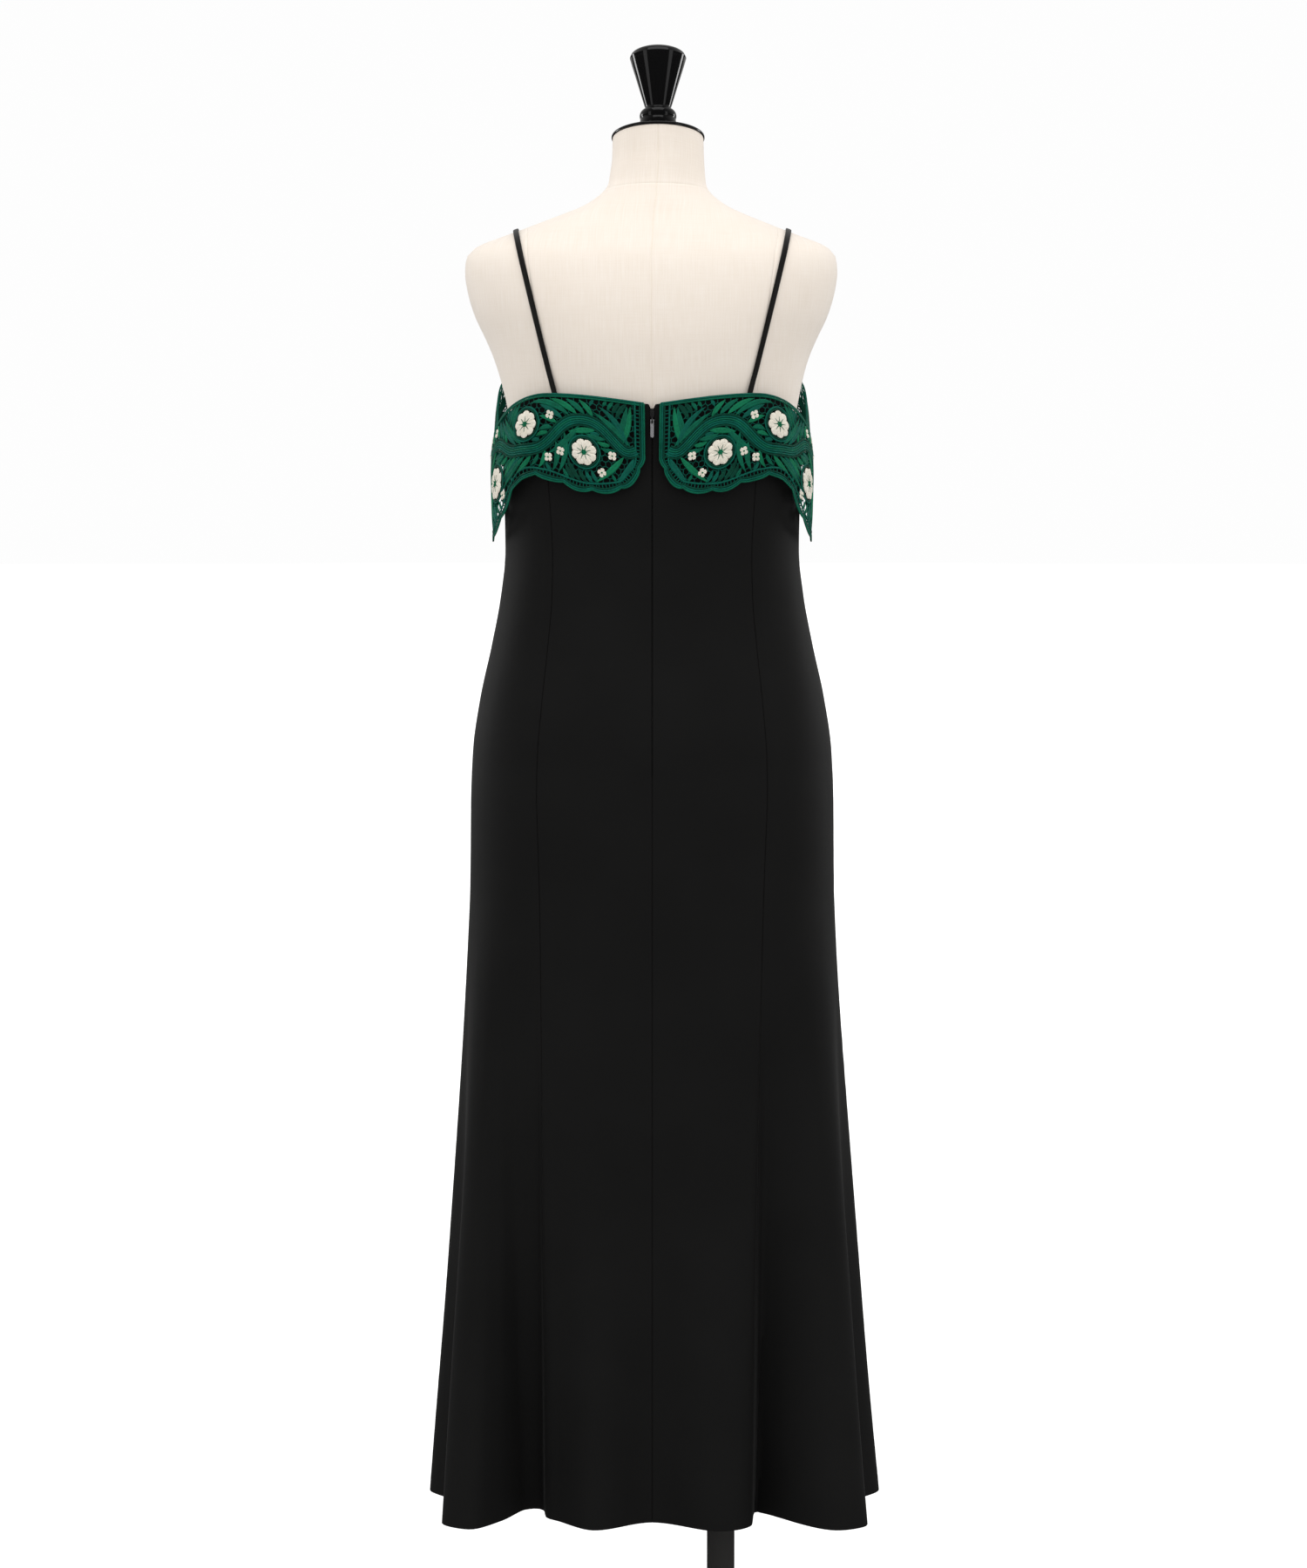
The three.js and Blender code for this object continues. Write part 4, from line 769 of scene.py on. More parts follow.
def lace_half():
    """Everything in the left half of the flounce, and the blossom on the centre front."""
    # The ground carries the net, its bands with their leaves, and the vine; the rest is stitched on it.
    ground, pat, centre, centre_ground = Pattern(), Pattern(), Pattern(), Pattern()
    rng = np.random.default_rng(7)
    # Outline: down beside the zip, round the corner, along the lower edge to the centre front.
    d0 = float(drop_u(0.0))
    side = np.stack([np.zeros(30), np.linspace(0, d0 - 9, 30)], -1)
    uu = np.linspace(8.0, HALF, 500)
    low = np.stack([uu, drop_u(uu)], -1)
    t = np.linspace(0, 1, 12)[1:-1, None]
    corner = (1 - t) ** 2 * side[-1] + 2 * t * (1 - t) * np.array([0.0, d0 + 1.0]) + t ** 2 * low[0]
    line = resample(np.vstack([side, corner, low]), 1.0)
    tan = unit(np.gradient(line, axis=0))
    for _ in range(10):
        tan = unit(np.vstack([tan[:1], (tan[:-2] + tan[1:-1] + tan[2:]) / 3, tan[-1:]]))
    inward = np.stack([tan[:, 1], -tan[:, 0]], -1)
    run = np.arange(len(line)) * 1.0
    start = d0 + 2
    count = round((run[-1] - start) / (HALF / 15))
    pitch = (run[-1] - start) / count
    ease = np.clip((run - start + 12) / 12, 0, 1)
    scallop = 3.6 * ease * (1 - np.abs(np.sin(math.pi * np.clip(run - start, 0, None) / pitch)) ** 0.8)

    def row(d, share=0.0):
        q = line + inward * (d + share * scallop)[:, None]
        return q[(q[:, 1] > 0.9) & (q[:, 0] < HALF + 0.01)]

    for d, share, r, mat in [(1.0, 1.0, 1.02, EMERALD), (3.05, 0.92, 1.0, TEAL), (5.1, 0.8, 1.0, FOREST), (10.2, 0, 1.0, TEAL)]:
        cord(ground, row(d, share), r, 0.95, mat)
    # Ladder between the rows.
    for k in np.arange(9.0, len(line) - 2, 3.9):
        i = int(k)
        a = line[i] + inward[i] * (5.4 + 0.8 * scallop[i])
        b = line[i] + inward[i] * 9.9
        if min(a[1], b[1]) > 5 and a[0] < HALF:
            cord(ground, [a, b], 0.5, 0.8, TEAL, step=3.0, sides=SQ4)
    # Cords under the top edge.
    for w, mat in [(1.0, TEAL), (3.05, EMERALD)]:
        cord(ground, np.stack([np.linspace(w, HALF, 300), np.full(300, w)], -1), 1.0, 0.95, mat)

    # A vine of six cords waves along the middle.
    period = HALF / WAVES

    def vine(u):
        d = drop_u(u)
        swing = np.cos(2 * math.pi * u / period) - 0.05 * np.cos(6 * math.pi * u / period)
        return TOP_BAND + (0.5 + 0.26 * swing) * (d - TOP_BAND - LOW_BAND)

    vu = np.linspace(9.5, HALF, 1200)
    vine_line = resample(np.stack([vu, vine(vu)], -1), 1.0)
    vt = unit(np.gradient(vine_line, axis=0))
    vn = np.stack([-vt[:, 1], vt[:, 0]], -1)
    for k, mat in enumerate([FOREST, TEAL, EMERALD, TEAL, TEAL, FOREST]):
        off = (k - 2.5) * 2.12
        q = vine_line + vn * off
        cord(ground, q[q[:, 0] < HALF + 0.01], 0.98, 1.0 + 0.2 * (1 - abs(off) / 6), mat)

    # Blossoms sit in the bays of the vine, by turns above and below it.
    rings = []
    for k in range(1, 2 * WAVES + 1):
        u = k * period / 2
        d, mid = float(drop_u(u)), float(vine(np.array(u)))
        lo, hi = (mid + 6.9, d - LOW_BAND) if k % 2 else (TOP_BAND, mid - 6.9)
        halo = min((16.4, 18.6)[k % 3 == 0], (hi - lo) / 2 - 0.4)
        c = np.array([u, (lo + hi) / 2 + (2.0 if k % 2 == 0 else -2.0) * ((hi - lo) / 2 - halo > 2.2)])
        rings.append((c, halo))
        target, under = (centre, centre_ground) if k == 2 * WAVES else (pat, ground)
        r = halo - 3.3
        blossom(target, c, r, turn=0.3 * k)
        a = np.linspace(0, 2 * math.pi, 49)
        for rad, mat in ((halo, TEAL), (halo - 2.0, FOREST)):
            cord(under, c + rad * np.stack([np.cos(a), np.sin(a)], -1), 0.97, 0.9, mat, loop=True, step=2.0)
        for j in range(12):
            b = 0.3 * k + 2 * math.pi * (j + 0.5) / 12
            e = np.array([math.cos(b), math.sin(b)])
            cord(under, [c + e * (r - 4.0), c + e * (halo - 2.2)], 0.48, 0.75, FOREST, step=3.0, sides=SQ4)

    # Long leaves sweep out from both sides of the vine and lie along it.
    spines = []

    def clear(path, halfwide, far_from_vine=7.4):
        if (path[:, 0] < 10.8).any() or (path[:, 0] > HALF - 0.5).any():
            return False
        d = drop_u(path[:, 0])
        if (path[:, 1] < TOP_BAND + 0.6).any() or (path[:, 1] > d - LOW_BAND + 0.8).any():
            return False
        for c, halo in rings:
            if (np.linalg.norm(path - c, axis=1) < halo + 0.6 + halfwide * 0.4).any():
                return False
        tip = path[len(path) // 2:]
        gap = np.linalg.norm(tip[:, None, :] - vine_line[None, ::3, :], axis=2).min(1)
        return (gap > far_from_vine).all()

    turn = 0
    for i in range(5, len(vine_line) - 3, 7):
        turn += 1
        for sgn in (-1, 1):
            base = vine_line[i] + vn[i] * sgn * 5.8
            along = math.atan2(vt[i, 1], vt[i, 0])
            done = False
            for length in np.arange(46, 8.5, -1.5):
                for off, bend in ((1.0, -0.85), (0.8, -0.5), (0.6, 0.1), (1.2, -0.3)):
                    path = leaf_path(base, along + sgn * off, length, sgn * bend)
                    wide = min(6.0, 3.0 + length * 0.11)
                    if not clear(path[3:], wide / 2, 7.6):
                        continue
                    near = [np.linalg.norm(q[3:, None] - path[None, 3:], axis=2).min() for q in spines[-12:]]
                    if near and min(near) < 3.1:
                        continue
                    mat = (LEAF, EMERALD, TEAL, LEAF, EMERALD)[(turn + (sgn > 0)) % 5]
                    leaf(pat, base, along + sgn * off, length, wide, sgn * bend, mat, out=0.9 + 0.13 * (turn % 3))
                    spines.append(path)
                    done = True
                    break
                if done:
                    break
    # Shorter ones lean from the upper and the lower band where there is room.
    for kind in (0, 1):
        for u in np.arange(12, HALF - 2, 6.4):
            d = float(drop_u(u))
            base = np.array([u, TOP_BAND - 0.4]) if kind == 0 else np.array([u, d - LOW_BAND + 1.2])
            head = 0.78 if kind == 0 else -0.85
            bend = 0.45 if kind == 0 else -0.45
            for length in np.arange(30, 5.5, -1.0):
                path = leaf_path(base, head, length, bend)
                wide = min(5.2, 2.4 + length * 0.13)
                if not clear(path[2:], wide / 2, 7.8):
                    continue
                if min(np.linalg.norm(q[:, None] - path[None, 3:], axis=2).min() for q in spines) < 2.6:
                    continue
                leaf(ground, base, head, length, wide, bend, (FOREST, EMERALD, TEAL)[int(u) % 3], out=0.75, high=0.85)
                spines.append(path)
                break
    # Florets fill what is left.
    points = np.vstack(spines)
    spots = []
    for _ in range(5000):
        q = np.array([rng.uniform(17, HALF - 5), rng.uniform(8, 104)])
        if not TOP_BAND + 4.5 < q[1] < float(drop_u(q[0])) - LOW_BAND - 4.0:
            continue
        if np.linalg.norm(vine_line[::2] - q, axis=1).min() < 11.2 or any(np.linalg.norm(c - q) < h + 5.6 for c, h in rings):
            continue
        if np.linalg.norm(points - q, axis=1).min() < 3.4 or any(np.linalg.norm(c - q) < 12 for c in spots):
            continue
        floret(pat, q, 4.6, rng.uniform(0, 1.5))
        spots.append(q)
        if len(spots) == 16:
            break

    # Fine net behind it all.
    a = 3.7
    hx, hy = math.sqrt(3) * a, 1.5 * a
    segs = []
    for j in range(-1, int(130 / hy) + 2):
        for i in range(-1, int(HALF / hx) + 2):
            c = np.array([(i + 0.5 * (j % 2)) * hx, j * hy])
            pts = [c + a * np.array([math.sin(q), math.cos(q)]) for q in np.arange(6) * math.pi / 3]
            for k in (0, 1, 2):
                segs.append((pts[k], pts[k + 1]))
    segs = np.array(segs)
    # The mesh is a little uneven, and meets at its knots.
    segs = segs + 0.35 * np.stack([np.sin(segs[..., 1] * 1.7 + 0.3 * segs[..., 0]), np.sin(segs[..., 0] * 1.3 - 0.4 * segs[..., 1])], -1)
    mid = segs.mean(1)
    ok = (mid[:, 0] > 8.4) & (mid[:, 0] < HALF - 0.4) & (mid[:, 1] > 3.4) & (mid[:, 1] < drop_u(mid[:, 0]) - 10.0)
    ok &= np.linalg.norm(mid[:, None, :] - vine_line[None, ::3, :], axis=2).min(1) > 5.6
    for c, halo in rings:
        ok &= np.linalg.norm(mid - c, axis=1) > halo + 0.4
    segs = segs[ok]
    t = unit(segs[:, 1] - segs[:, 0])
    perp = np.stack([-t[:, 1], t[:, 0]], -1)
    r, out = 0.46, 0.62
    base = ground.n
    ring = []
    for e in (0, 1):
        for x, y in SQ4:
            ring.append(np.concatenate([segs[:, e] + perp * x * r, np.full((len(segs), 1), out + y * r * 0.9)], -1))
    v = np.stack(ring, 1)
    ground.v.append(v.reshape(-1, 3))
    ground.uv.append(np.zeros((len(segs) * 8, 2)))
    for j in range(4):
        k = (j + 1) % 4
        q = np.array([j, k, 4 + k, 4 + j])
        f = (np.arange(len(segs))[:, None] * 8 + q[None, :] + base).tolist()
        ground.f += f
        ground.m += [TEAL] * len(f)
    for q in ([3, 2, 1, 0], [4, 5, 6, 7]):
        ground.f += (np.arange(len(segs))[:, None] * 8 + np.array(q)[None, :] + base).tolist()
        ground.m += [TEAL] * len(segs)
    ground.n += len(segs) * 8
    return ground, pat, centre_ground, centre


def joined(parts):
    v, f, m, uv, n = [], [], [], [], 0
    for verts, faces, mats, tex, flip in parts:
        v.append(verts)
        uv.append(tex)
        faces = [[i + n for i in (q[::-1] if flip else q)] for q in faces]
        f += faces
        m += mats
        n += len(verts)
    return np.vstack(v), f, m, np.vstack(uv)


def split_faces(uwh, faces, mats, test):
    """The faces whose first point passes the test, with the points that they use."""
    keep = [i for i, q in enumerate(faces) if test(uwh[q[0]])]
    used = sorted({p for i in keep for p in faces[i]})
    new = {p: k for k, p in enumerate(used)}
    return used, [[new[p] for p in faces[i]] for i in keep], [mats[i] for i in keep]


def flounce():
    ground, raised, centre_ground, centre_raised = lace_half()
    mirror = np.array([-1, 1, 1.0])
    out = {}
    for kind, half, middle in (("ground", ground, centre_ground), ("motifs", raised, centre_raised)):
        uwh, tex = np.vstack(half.v), np.vstack(half.uv)
        xyz = lace_xyz(uwh)
        cxyz, ctex = lace_xyz(np.vstack(middle.v)), np.vstack(middle.uv)
        back = split_faces(uwh, half.f, half.m, lambda p: p[0] < SIDE)
        front = split_faces(uwh, half.f, half.m, lambda p: p[0] >= SIDE)
        for where, parts in [
            ("back_left", [(xyz[back[0]], back[1], back[2], tex[back[0]], False)]),
            ("back_right", [(xyz[back[0]] * mirror, back[1], back[2], tex[back[0]], True)]),
            ("front", [
                (xyz[front[0]], front[1], front[2], tex[front[0]], False),
                (xyz[front[0]] * mirror, front[1], front[2], tex[front[0]], True),
                (cxyz, middle.f, middle.m, ctex, False),
            ]),
        ]:
            v, f, m, t = joined(parts)
            o = mesh_object("lace_" + kind + "_" + where, v, f, LACE_MATS, face_mat=m, uv=t, sharp=70)
            place(o, "lace", *(["lace_" + where] if kind == "ground" else []))
            out[o.name] = o
    return out


laces = flounce()


# ---------------------------------------------------------------- the form
TILT = math.tan(NECK_TILT * DEG)


def form_level(x, y, z):
    yy = y - f_line(z)
    deep = np.where(yy > 0, f_back(z), f_front(z))
    n = f_square(z)
    return np.abs((x - f_shift(z)) / f_half(z)) ** n + np.abs(yy / deep) ** n


def form_ring(angle, z):
    x, y = squared(angle, f_half(z), f_back(z), f_front(z), f_square(z))
    lean = TILT * np.clip((z - 1512) / (NECK_TOP - 1512), 0, 1)
    x, y = x + f_shift(z), y + f_line(z)
    return np.stack([x, y, z + lean * y], -1)


def form():
    zs = np.concatenate([[826], np.arange(829, 1480, 7.0), np.arange(1481, 1537, 2.2), [1538, 1539.4, 1540.3, 1540.7, 1541, 1541.3, 1541.7, 1542.6, 1544],
                         np.arange(1547, 1594, 4.0), [1595, 1596.5, 1597]])
    seam_x = through(*zip(*sorted(FORM_SEAM)))
    near = np.array([0.45, 1.0, 2.0, 4.5])
    rows, arcs, dents = [], [], []
    fine = np.linspace(0, 2 * math.pi, 1441)
    for z in zs:
        zf = np.full_like(fine, z)
        p = form_ring(fine, zf)
        run = np.concatenate([[0], np.cumsum(np.linalg.norm(np.diff(p, axis=0), axis=1))])
        total = run[-1]
        # Seams: centre back, the two back lines, centre front and the two front lines.
        cap = 0.985 * float(f_half(z))
        xs = min(float(seam_x(min(z, 1500))), cap)
        lines = [0.0]
        quarter = [(0, 0.5, xs), (0.5, 1, xs), (1, 1.5, -xs), (1.5, 2, -xs)]
        marks = []
        for a0, a1, x in quarter:
            sel = (fine >= a0 * math.pi - 1e-9) & (fine <= a1 * math.pi + 1e-9)
            i = np.argmin(np.abs(p[sel, 0] - float(f_shift(z)) - x))
            marks.append(run[sel][i])
        half = np.interp(math.pi, fine, run)
        lines = [0.0, marks[0], marks[1], half, marks[2], marks[3], total]
        pos, dent = [], []
        fade = float(np.clip((1503 - z) / 5, 0, 1))
        depth = [1, fade, fade, 1, fade, fade, 1]
        for k in range(6):
            a, b = lines[k], lines[k + 1]
            n = (16, 14, 16, 16, 14, 16)[k]
            inner = (b - a) / 2.2
            nn = np.minimum(near, inner * near / near[-1])
            pos += [a] + list(a + nn) + list(np.linspace(a + nn[-1], b - nn[-1], n)[1:-1]) + list(b - nn[::-1])
            e = np.array([0] + list(nn) + [99] * (n - 2) + list(nn[::-1]))
            w = np.array([depth[k]] * (1 + len(nn)) + [0] * (n - 2) + [depth[k + 1]] * len(nn))
            dent += list(0.55 * np.exp(-(e / 0.8) ** 2) * w)
        pos = np.array(pos)
        rows.append(np.interp(pos, run, fine))
        arcs.append(pos)
        dents.append(dent)
    angle, dents, arcs = np.array(rows), np.array(dents), np.array(arcs)
    zz = np.repeat(zs[:, None], angle.shape[1], 1)
    p = form_ring(angle, zz)
    dents = dents + (0.5 * np.exp(-((zs - 1541) / 0.7) ** 2))[:, None]
    du = np.roll(p, -1, 1) - np.roll(p, 1, 1)
    dz = np.gradient(p, axis=0)
    n = unit(np.cross(dz, du))
    p = p - n * dents[..., None]
    top = len(zs) - 1
    nr, nc, _ = p.shape
    verts = np.vstack([p.reshape(-1, 3), p[0].mean(0), p[top].mean(0)])
    faces = grid_faces(nr, nc, wrap=True, flip=True)
    a = nr * nc
    for c in range(nc):
        d = (c + 1) % nc
        faces.append([a, c, d])
        faces.append([a + 1, top * nc + d, top * nc + c])
    # The weave runs out from the centre back on both sides.
    whole = arcs[:, -1:]
    arcs = np.where(arcs > whole / 2, arcs - whole, arcs)
    uv = np.stack([arcs, zz], -1).reshape(-1, 2) / 1000
    uv = np.vstack([uv, [[0, 0.826], [0, 1.6]]])
    o = mesh_object("form_shell", verts, faces, [LINEN], uv=uv, sharp=60)
    return place(o, "form_linen", "form_torso")


torso = form()


# ---------------------------------------------------------------- shoulder straps
def strap(side, name, node):
    lift = STRAP["clear"] + STRAP["thick"] / 2
    cy, cz = -2.0, 1385.0
    lo, hi = 0.0, 1.5
    for _ in range(40):
        mid = (lo + hi) / 2
        if float(dress_xy(mid, cloth_edge(mid))[0]) < 98.5:
            lo = mid
        else:
            hi = mid
    back_s = lo if side > 0 else 8 - lo
    front_s = 2.95 if side > 0 else 8 - 2.95

    def tucked(s, z):
        p, n = dress_point(np.array(s), np.array(float(z)))
        return p - n * (1.6 + STRAP["behind"] + STRAP["thick"] / 2), n

    ends = []
    for s in (back_s, front_s):
        low, high = float(cloth_edge(s)) - STRAP["tuck"], float(edge_at(s)) + 1
        n = math.ceil((high - low) / 6)
        ends.append([tucked(s, low + (high - low) * i / n) for i in range(n + 1)])

    def on_form(turn):
        dy, dz = math.cos(turn), math.sin(turn)
        end = (ends[0] if dy > 0 else ends[1])[-1][0]
        x = abs(end[0])
        for _ in range(7):
            a, b = 20.0, 240.0
            for _ in range(32):
                mid = (a + b) / 2
                if form_level(side * x, cy + mid * dy, cz + mid * dz) < 1:
                    a = mid
                else:
                    b = mid
            y, z = cy + a * dy, cz + a * dz
            up = min(1, max(0, (z - end[2]) / (1500 - end[2])))
            x = abs(end[0]) + (138.6 - abs(end[0])) * up
        p = np.array([side * x, y, z])
        e = 0.5
        n = np.array([form_level(*(p + d)) - form_level(*(p - d)) for d in np.eye(3) * e])
        n = unit(n)
        return p + n * lift, n

    def turn_of(p):
        return math.atan2(p[2] - cz, p[1] - cy)

    start = turn_of(ends[0][-1][0]) + 0.13
    last = turn_of(ends[1][-1][0])
    stop = last - 0.13 + (2 * math.pi if last < 0 else 0)
    spots = list(ends[0]) + [on_form(start + (stop - start) * i / 80) for i in range(81)] + ends[1][::-1]
    p = np.array([q[0] for q in spots])
    n = np.array([q[1] for q in spots])
    for _ in range(2):
        p[2:-2] = (p[1:-3] + 2 * p[2:-2] + p[3:-1]) / 4
    ahead = unit(np.vstack([p[1:2] - p[0:1], p[2:] - p[:-2], p[-1:] - p[-2:-1]]))
    across = unit(np.cross(ahead, n))
    out = unit(np.cross(across, ahead))
    t = (np.arange(16) + 0.5) / 16 * 2 * math.pi
    w = STRAP["width"] * 0.44 * np.sign(np.cos(t)) * np.abs(np.cos(t)) ** 0.75
    h = STRAP["thick"] / 2 * np.sign(np.sin(t)) * np.abs(np.sin(t)) ** 0.75
    rings = p[:, None] + across[:, None] * w[None, :, None] + out[:, None] * h[None, :, None]
    run = np.concatenate([[0], np.cumsum(np.linalg.norm(np.diff(p, axis=0), axis=1))])
    uv = np.stack([np.repeat(run[:, None], 16, 1), np.repeat((t * 2.5)[None], len(p), 0)], -1) / 1000
    o = tube_rings(name, rings, SATIN, uv=uv)
    o["run_mm"] = float(run[-1])
    return place(o, "strap_satin", node)


strap_l = strap(1, "satin_strap_left", "strap_left")
strap_r = strap(-1, "satin_strap_right", "strap_right")


# ---------------------------------------------------------------- zip
def tape(side, name, node):
    zs = np.concatenate([np.arange(ZIP["foot"] + 3, 1296, 12.0), [1299.5]])
    s_edge, s_far = (0.0, 0.12) if side > 0 else (8.0, 7.88)
    p0, n0 = dress_point(np.full_like(zs, s_edge), zs)
    p1, _ = dress_point(np.full_like(zs, s_far), zs)
    out = unit(p1 - p0)
    notch = np.where(zs > 1288, notch_at(zs), 0)
    across = np.linspace(-0.13, 11, 7)        # the coil closes the two tapes
    a = p0 + out * (SEAM / 2 + notch)[:, None]
    near = a[:, None] + out[:, None] * across[None, :, None] - n0[:, None] * (1.6 + SEAM)
    far = near - n0[:, None] * 0.8
    nr, nc = len(zs), len(across)
    k = nr * nc
    faces = grid_faces(nr, nc, flip=side > 0) + grid_faces(nr, nc, base=k, flip=side < 0)
    rim = [(r * nc, (r + 1) * nc) for r in range(nr - 1)]
    for x, y in rim:
        faces.append([x, y, k + y, k + x])
        faces.append([y + nc - 1, x + nc - 1, k + x + nc - 1, k + y + nc - 1])
    for c in range(nc - 1):
        faces.append([c + 1, c, k + c, k + c + 1])
        q = (nr - 1) * nc + c
        faces.append([q, q + 1, k + q + 1, k + q])
    uv = np.stack([np.repeat(across[None], nr, 0), np.repeat(zs[:, None], nc, 1)], -1).reshape(-1, 2) / 1000
    o = mesh_object(name, np.vstack([near.reshape(-1, 3), far.reshape(-1, 3)]), faces, [TAPE], uv=np.vstack([uv, uv]))
    return place(o, "zip_tape", node)


tape_l = tape(1, "woven_tape_left", "zip_tape_left")
tape_r = tape(-1, "woven_tape_right", "zip_tape_right")


def keep(node, mat, bevel=0.0):
    """A CAD node that stays, with its finish."""
    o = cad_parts[node]
    o.data.materials.clear()
    o.data.materials.append(mat)
    if bevel:
        b = o.modifiers.new("edge", "BEVEL")
        b.width, b.segments, b.limit_method, b.angle_limit = bevel, 2, "ANGLE", 35 * DEG
        b.harden_normals = False
    return o


keep("zip_slider", DARK_ZINC, 0.00022)
keep("zip_pull_tab", ZINC, 0.00025)


# ---------------------------------------------------------------- neck cap, finial and stand
def neck_cap():
    seat = SEAM / math.cos(NECK_TILT * DEG)
    axis = np.array([0, -math.sin(NECK_TILT * DEG), math.cos(NECK_TILT * DEG)])
    thick, over, dome = CAP["thick"], CAP["over"], CAP["dome"]
    levels = [(over - 1, 0), (over - 0.25, 0.3), (over, 1.0), (over, thick - 1.7), (over - 0.2, thick - 1.1),
              (over - 0.7, thick - 0.5), (over - 1.6, thick - 0.05), (over - 3.0, thick + 0.25),
              (-6, thick + dome * 0.24), (-13, thick + dome * 0.6), (-20, thick + dome * 0.88), (-26, thick + dome), (-34, thick + dome)]
    rings = []
    t = np.arange(120) / 120 * 2 * math.pi
    for grow, height in levels:
        x, y = squared(t, 46.4 + grow, 48 + grow, 50 + grow, 2.0)
        x, y = x - 6, y - 18
        z = NECK_TOP + TILT * y
        rings.append(np.stack([x, y, z], -1) + axis * (seat + height))
    o = tube_rings("neck_cap", np.array(rings)[:, ::-1], GLOSS, sharp=50)
    return place(o, "gloss_black", "form_neck_cap")


def finial():
    r_cone = through([18.2, 31.5, 49, 67.8, 71.2], [13.2, 17.2, 22.4, 28, 28.9])
    h_crown = through([0, 9, 20, 27.4, 28.9], [81.8, 81.2, 79, 74.8, 71.2])
    low = -18 * math.sin(NECK_TILT * DEG)  # the cap's plane lies this far down at the neck's middle
    prof = [(0, low), (17.5, low), (18.2, low + 0.4), (18.5, low + 1.1), (18.5, 4.4), (18.2, 5.0), (18.25, 5.8)]
    # The bead is a full round, so it is drawn by angle.
    for a in np.linspace(-25, 64, 20):
        prof.append((float(12.4 + 6.5 * math.cos(a * DEG)), float(9.6 + 6.9 * math.sin(a * DEG))))
    prof += [(13.5, 16.6), (13.2, 17.2), (13.2, 18.2)]
    for h in np.linspace(19.5, 70.4, 26):
        prof.append((float(r_cone(h)), float(h)))
    for r in [28.95, 28.7, 28.2, 27.4, 26.2, 24.4, 22, 19, 15.5, 12, 8, 4, 0]:
        prof.append((r, float(h_crown(min(r, 28.9)))))
    o = lathe("finial_turned", prof, GLOSS, segments=96, sharp=38)
    a = NECK_TILT * DEG
    axis = Vector((0, -math.sin(a), math.cos(a)))
    o.rotation_euler = (a, 0, 0)
    o.location = (Vector((-6, -18, NECK_TOP)) + axis * (SEAM + CAP["thick"] + CAP["dome"] + SEAM)) / 1000
    bpy.context.view_layer.update()
    o.data.transform(o.matrix_world)
    o.rotation_euler, o.location = (0, 0, 0), (0, 0, 0)
    return place(o, "gloss_black", "form_finial")


def fillet(profile, radius, steps=5):
    """Rounds the inner corners of a profile."""
    out = [profile[0]]
    for i in range(1, len(profile) - 1):
        a, b, c = (np.array(profile[j], float) for j in (i - 1, i, i + 1))
        r = min(radius, np.linalg.norm(a - b) * 0.45, np.linalg.norm(c - b) * 0.45)
        p, q = b + unit(a - b) * r, b + unit(c - b) * r
        for t in np.linspace(0, 1, steps):
            out.append(tuple((1 - t) ** 2 * p + 2 * t * (1 - t) * b + t * t * q))
    out.append(profile[-1])
    return out


def stand():
    foot, high = BASE["thick"] + SEAM, 826 - SEAM
    r = POLE["radius"]
    at = (POLE["x"], POLE["y"], 0)
    pole = lathe("pole_tube", fillet([(0, foot), (r, foot), (r, high), (0, high)], 0.8), POWDER, segments=72, at=at)
    place(pole, "stand_metal", "stand_pole")
    i, o, z, h = r + SEAM, BASE["collar"], BASE["thick"] + SEAM, BASE["high"]
    prof = [(i, z), (o + 6, z), (o + 6, z + 3), (o - 3, z + 8), (i + 4, z + h - 3), (i + 3, z + h), (i, z + h), (i, z)]
    collar = lathe("pole_collar", fillet(prof, 1.6), POWDER, segments=72, at=at)
    place(collar, "stand_metal", "stand_collar")
    R, t = BASE["radius"], BASE["thick"]
    prof = [(0, 0), (R - 1, 0), (R, 1), (R, t - 3), (R - 2.5, t - 0.6), (R - 5, t), (0, t)]
    base = lathe("base_plate", fillet(prof, 1.4), POWDER, segments=160)
    place(base, "stand_metal", "stand_base")


neck_cap()
finial()
stand()

# ---------------------------------------------------------------- cut sizes of the cloth
for name, o in gores.items():
    w, l = o["cut_width_mm"] / 1000, o["cut_length_mm"] / 1000
    print("cut", name, round(w, 4), round(l, 4), round(o["cut_area_m2"], 5))
for where, w, rest in [("back_left", SIDE, "dress_side_back_left"), ("back_right", SIDE, "dress_side_back_right"),
                       ("front", 2 * (HALF - SIDE), "dress_centre_front")]:
    w /= 1000
    print("lace", where, round(w, 4))

# ---------------------------------------------------------------- camera
cam_data = bpy.data.cameras.new("camera")
cam_data.sensor_fit = "VERTICAL"
cam_data.sensor_height = 36
cam_data.sensor_width = 30
cam_data.lens = 80.27
cam_data.clip_end = 200
cam = bpy.data.objects.new("camera", cam_data)
cam.location = (-0.00135, 3.6, 1.23)
cam.rotation_euler = ((90 - 4.716) * DEG, 0, math.pi)
bpy.context.scene.collection.objects.link(cam)
bpy.context.scene.camera = cam


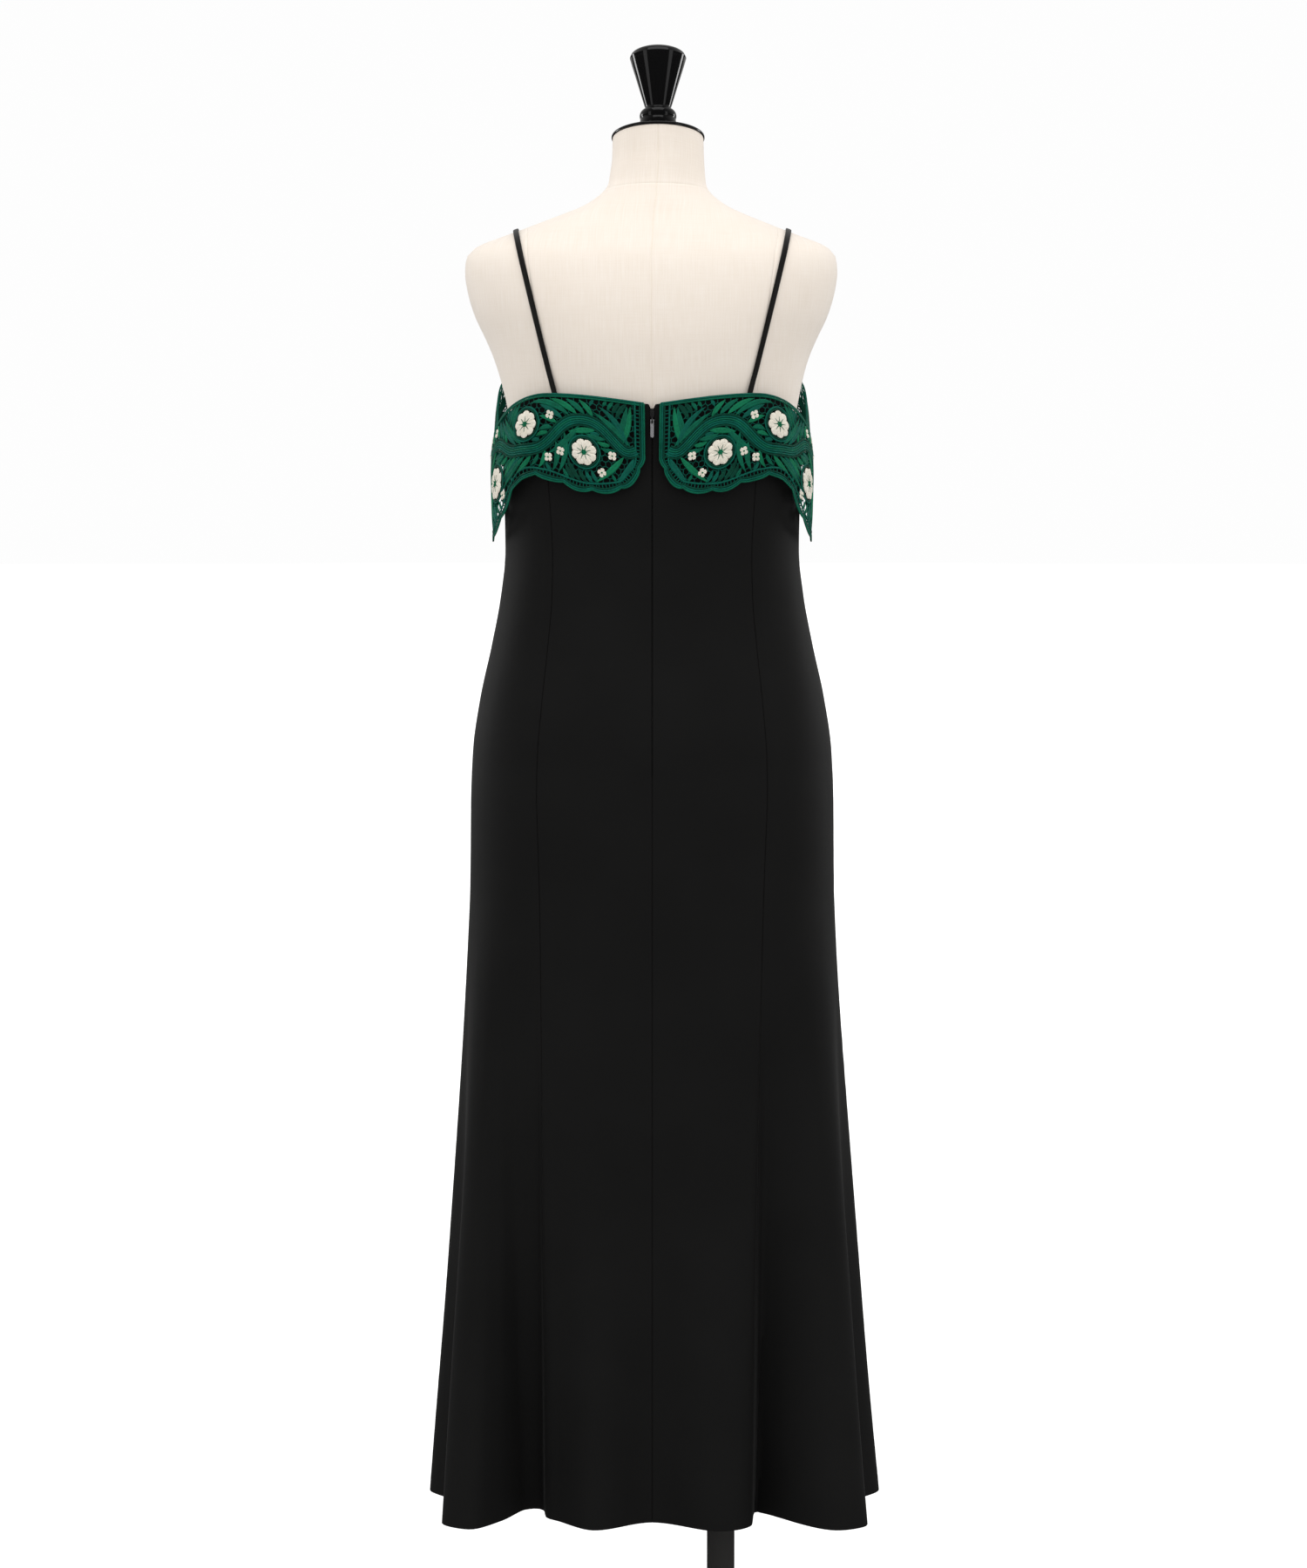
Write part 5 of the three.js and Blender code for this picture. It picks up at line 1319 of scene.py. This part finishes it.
# ---------------------------------------------------------------- floor, light and sky
def floor():
    m = bpy.data.materials.new("floor_white")
    m.use_nodes = True
    t = m.node_tree
    b = next(n for n in t.nodes if n.type == "BSDF_PRINCIPLED")
    b.inputs["Base Color"].default_value = (0.34, 0.34, 0.34, 1)
    b.inputs["Roughness"].default_value = 0.9
    b.inputs["Specular IOR Level"].default_value = 0.0
    # Seen by the camera the floor is lit up to white, more so further out; it throws little light itself.
    b.inputs["Emission Color"].default_value = (1, 1, 1, 1)
    path = t.nodes.new("ShaderNodeLightPath")
    at = t.nodes.new("ShaderNodeTexCoord")
    far = t.nodes.new("ShaderNodeVectorMath")
    far.operation = "LENGTH"
    t.links.new(at.outputs["Object"], far.inputs[0])
    glow = t.nodes.new("ShaderNodeMapRange")
    for k, v in (("From Min", 0.5), ("From Max", 3.0), ("To Min", 0.74), ("To Max", 1.0)):
        glow.inputs[k].default_value = v
    t.links.new(far.outputs["Value"], glow.inputs["Value"])
    # In shiny things the floor is dark.
    tone = t.nodes.new("ShaderNodeMapRange")
    for k, v in (("To Min", 0.5), ("To Max", 0.03)):
        tone.inputs[k].default_value = v
    t.links.new(path.outputs["Is Glossy Ray"], tone.inputs["Value"])
    t.links.new(tone.outputs["Result"], b.inputs["Base Color"])
    seen = t.nodes.new("ShaderNodeMath")
    seen.operation = "MULTIPLY"
    t.links.new(glow.outputs["Result"], seen.inputs[0])
    t.links.new(path.outputs["Is Camera Ray"], seen.inputs[1])
    t.links.new(seen.outputs[0], b.inputs["Emission Strength"])
    me = bpy.data.meshes.new("floor")
    n, r = 96, 60.0
    pts = [(0, 0, 0)] + [(r * math.cos(k / n * 2 * math.pi), r * math.sin(k / n * 2 * math.pi), 0) for k in range(n)]
    me.from_pydata(pts, [], [(0, k + 1, (k + 1) % n + 1) for k in range(n)])
    me.materials.append(m)
    o = bpy.data.objects.new("floor", me)
    o.location = (0, 0, -0.0005)
    bpy.context.scene.collection.objects.link(o)


def softbox(name, at, to, size, power):
    d = bpy.data.lights.new(name, "AREA")
    d.shape = "RECTANGLE"
    d.size, d.size_y = size
    d.energy = power
    o = bpy.data.objects.new(name, d)
    o.location = at
    o.rotation_euler = (Vector(to) - Vector(at)).to_track_quat("-Z", "Y").to_euler()
    bpy.context.scene.collection.objects.link(o)


WALL_GLOW, FRONT_GLOW = 0.62, 1.22
WALL_SEEN, FRONT_SEEN = 0.50, 0.03         # the same in shiny things


def sky():
    w = bpy.data.worlds.new("studio")
    bpy.context.scene.world = w
    w.use_nodes = True
    t = w.node_tree
    t.nodes.clear()
    out = t.nodes.new("ShaderNodeOutputWorld")
    seen = t.nodes.new("ShaderNodeBackground")
    seen.inputs["Color"].default_value = (1, 1, 1, 1)
    seen.inputs["Strength"].default_value = 0.985
    # A wide soft light fills the camera's side; in shiny things the studio is dim there and its white wall glows.
    path = t.nodes.new("ShaderNodeLightPath")
    way = t.nodes.new("ShaderNodeTexCoord")
    split = t.nodes.new("ShaderNodeSeparateXYZ")
    t.links.new(way.outputs["Generated"], split.inputs[0])
    glows = []
    for low, high in ((WALL_GLOW, FRONT_GLOW), (WALL_SEEN, FRONT_SEEN)):
        wall = t.nodes.new("ShaderNodeMapRange")
        wall.interpolation_type = "SMOOTHSTEP"
        for k, v in (("From Min", -0.9), ("From Max", 0.75), ("To Min", low), ("To Max", high)):
            wall.inputs[k].default_value = v
        t.links.new(split.outputs["Y"], wall.inputs["Value"])
        lit = t.nodes.new("ShaderNodeBackground")
        lit.inputs["Color"].default_value = (1, 0.99, 0.975, 1)
        t.links.new(wall.outputs["Result"], lit.inputs["Strength"])
        glows.append(lit)
    shiny = t.nodes.new("ShaderNodeMixShader")
    t.links.new(path.outputs["Is Glossy Ray"], shiny.inputs["Fac"])
    t.links.new(glows[0].outputs[0], shiny.inputs[1])
    t.links.new(glows[1].outputs[0], shiny.inputs[2])
    mix = t.nodes.new("ShaderNodeMixShader")
    t.links.new(path.outputs["Is Camera Ray"], mix.inputs["Fac"])
    t.links.new(shiny.outputs[0], mix.inputs[1])
    t.links.new(seen.outputs[0], mix.inputs[2])
    t.links.new(mix.outputs[0], out.inputs["Surface"])


floor()
sky()
softbox("key_left", (2.9, 2.1, 1.7), (0, 0, 1.0), (1.0, 2.6), 5)
softbox("key_right", (-2.9, 2.1, 1.7), (0, 0, 1.0), (1.0, 2.6), 5)
softbox("top", (0, 0.7, 3.6), (0, 0, 1.2), (2.2, 1.6), 10)
softbox("rim_left", (2.3, -1.3, 1.35), (0, 0, 1.0), (0.5, 1.3), 10)
softbox("rim_right", (-2.3, -1.3, 1.35), (0, 0, 1.0), (0.5, 1.3), 10)

scene = bpy.context.scene
scene.view_settings.view_transform = "Standard"
scene.view_settings.look = "None"
scene.view_settings.exposure = 0.0
scene.view_settings.gamma = 1.0
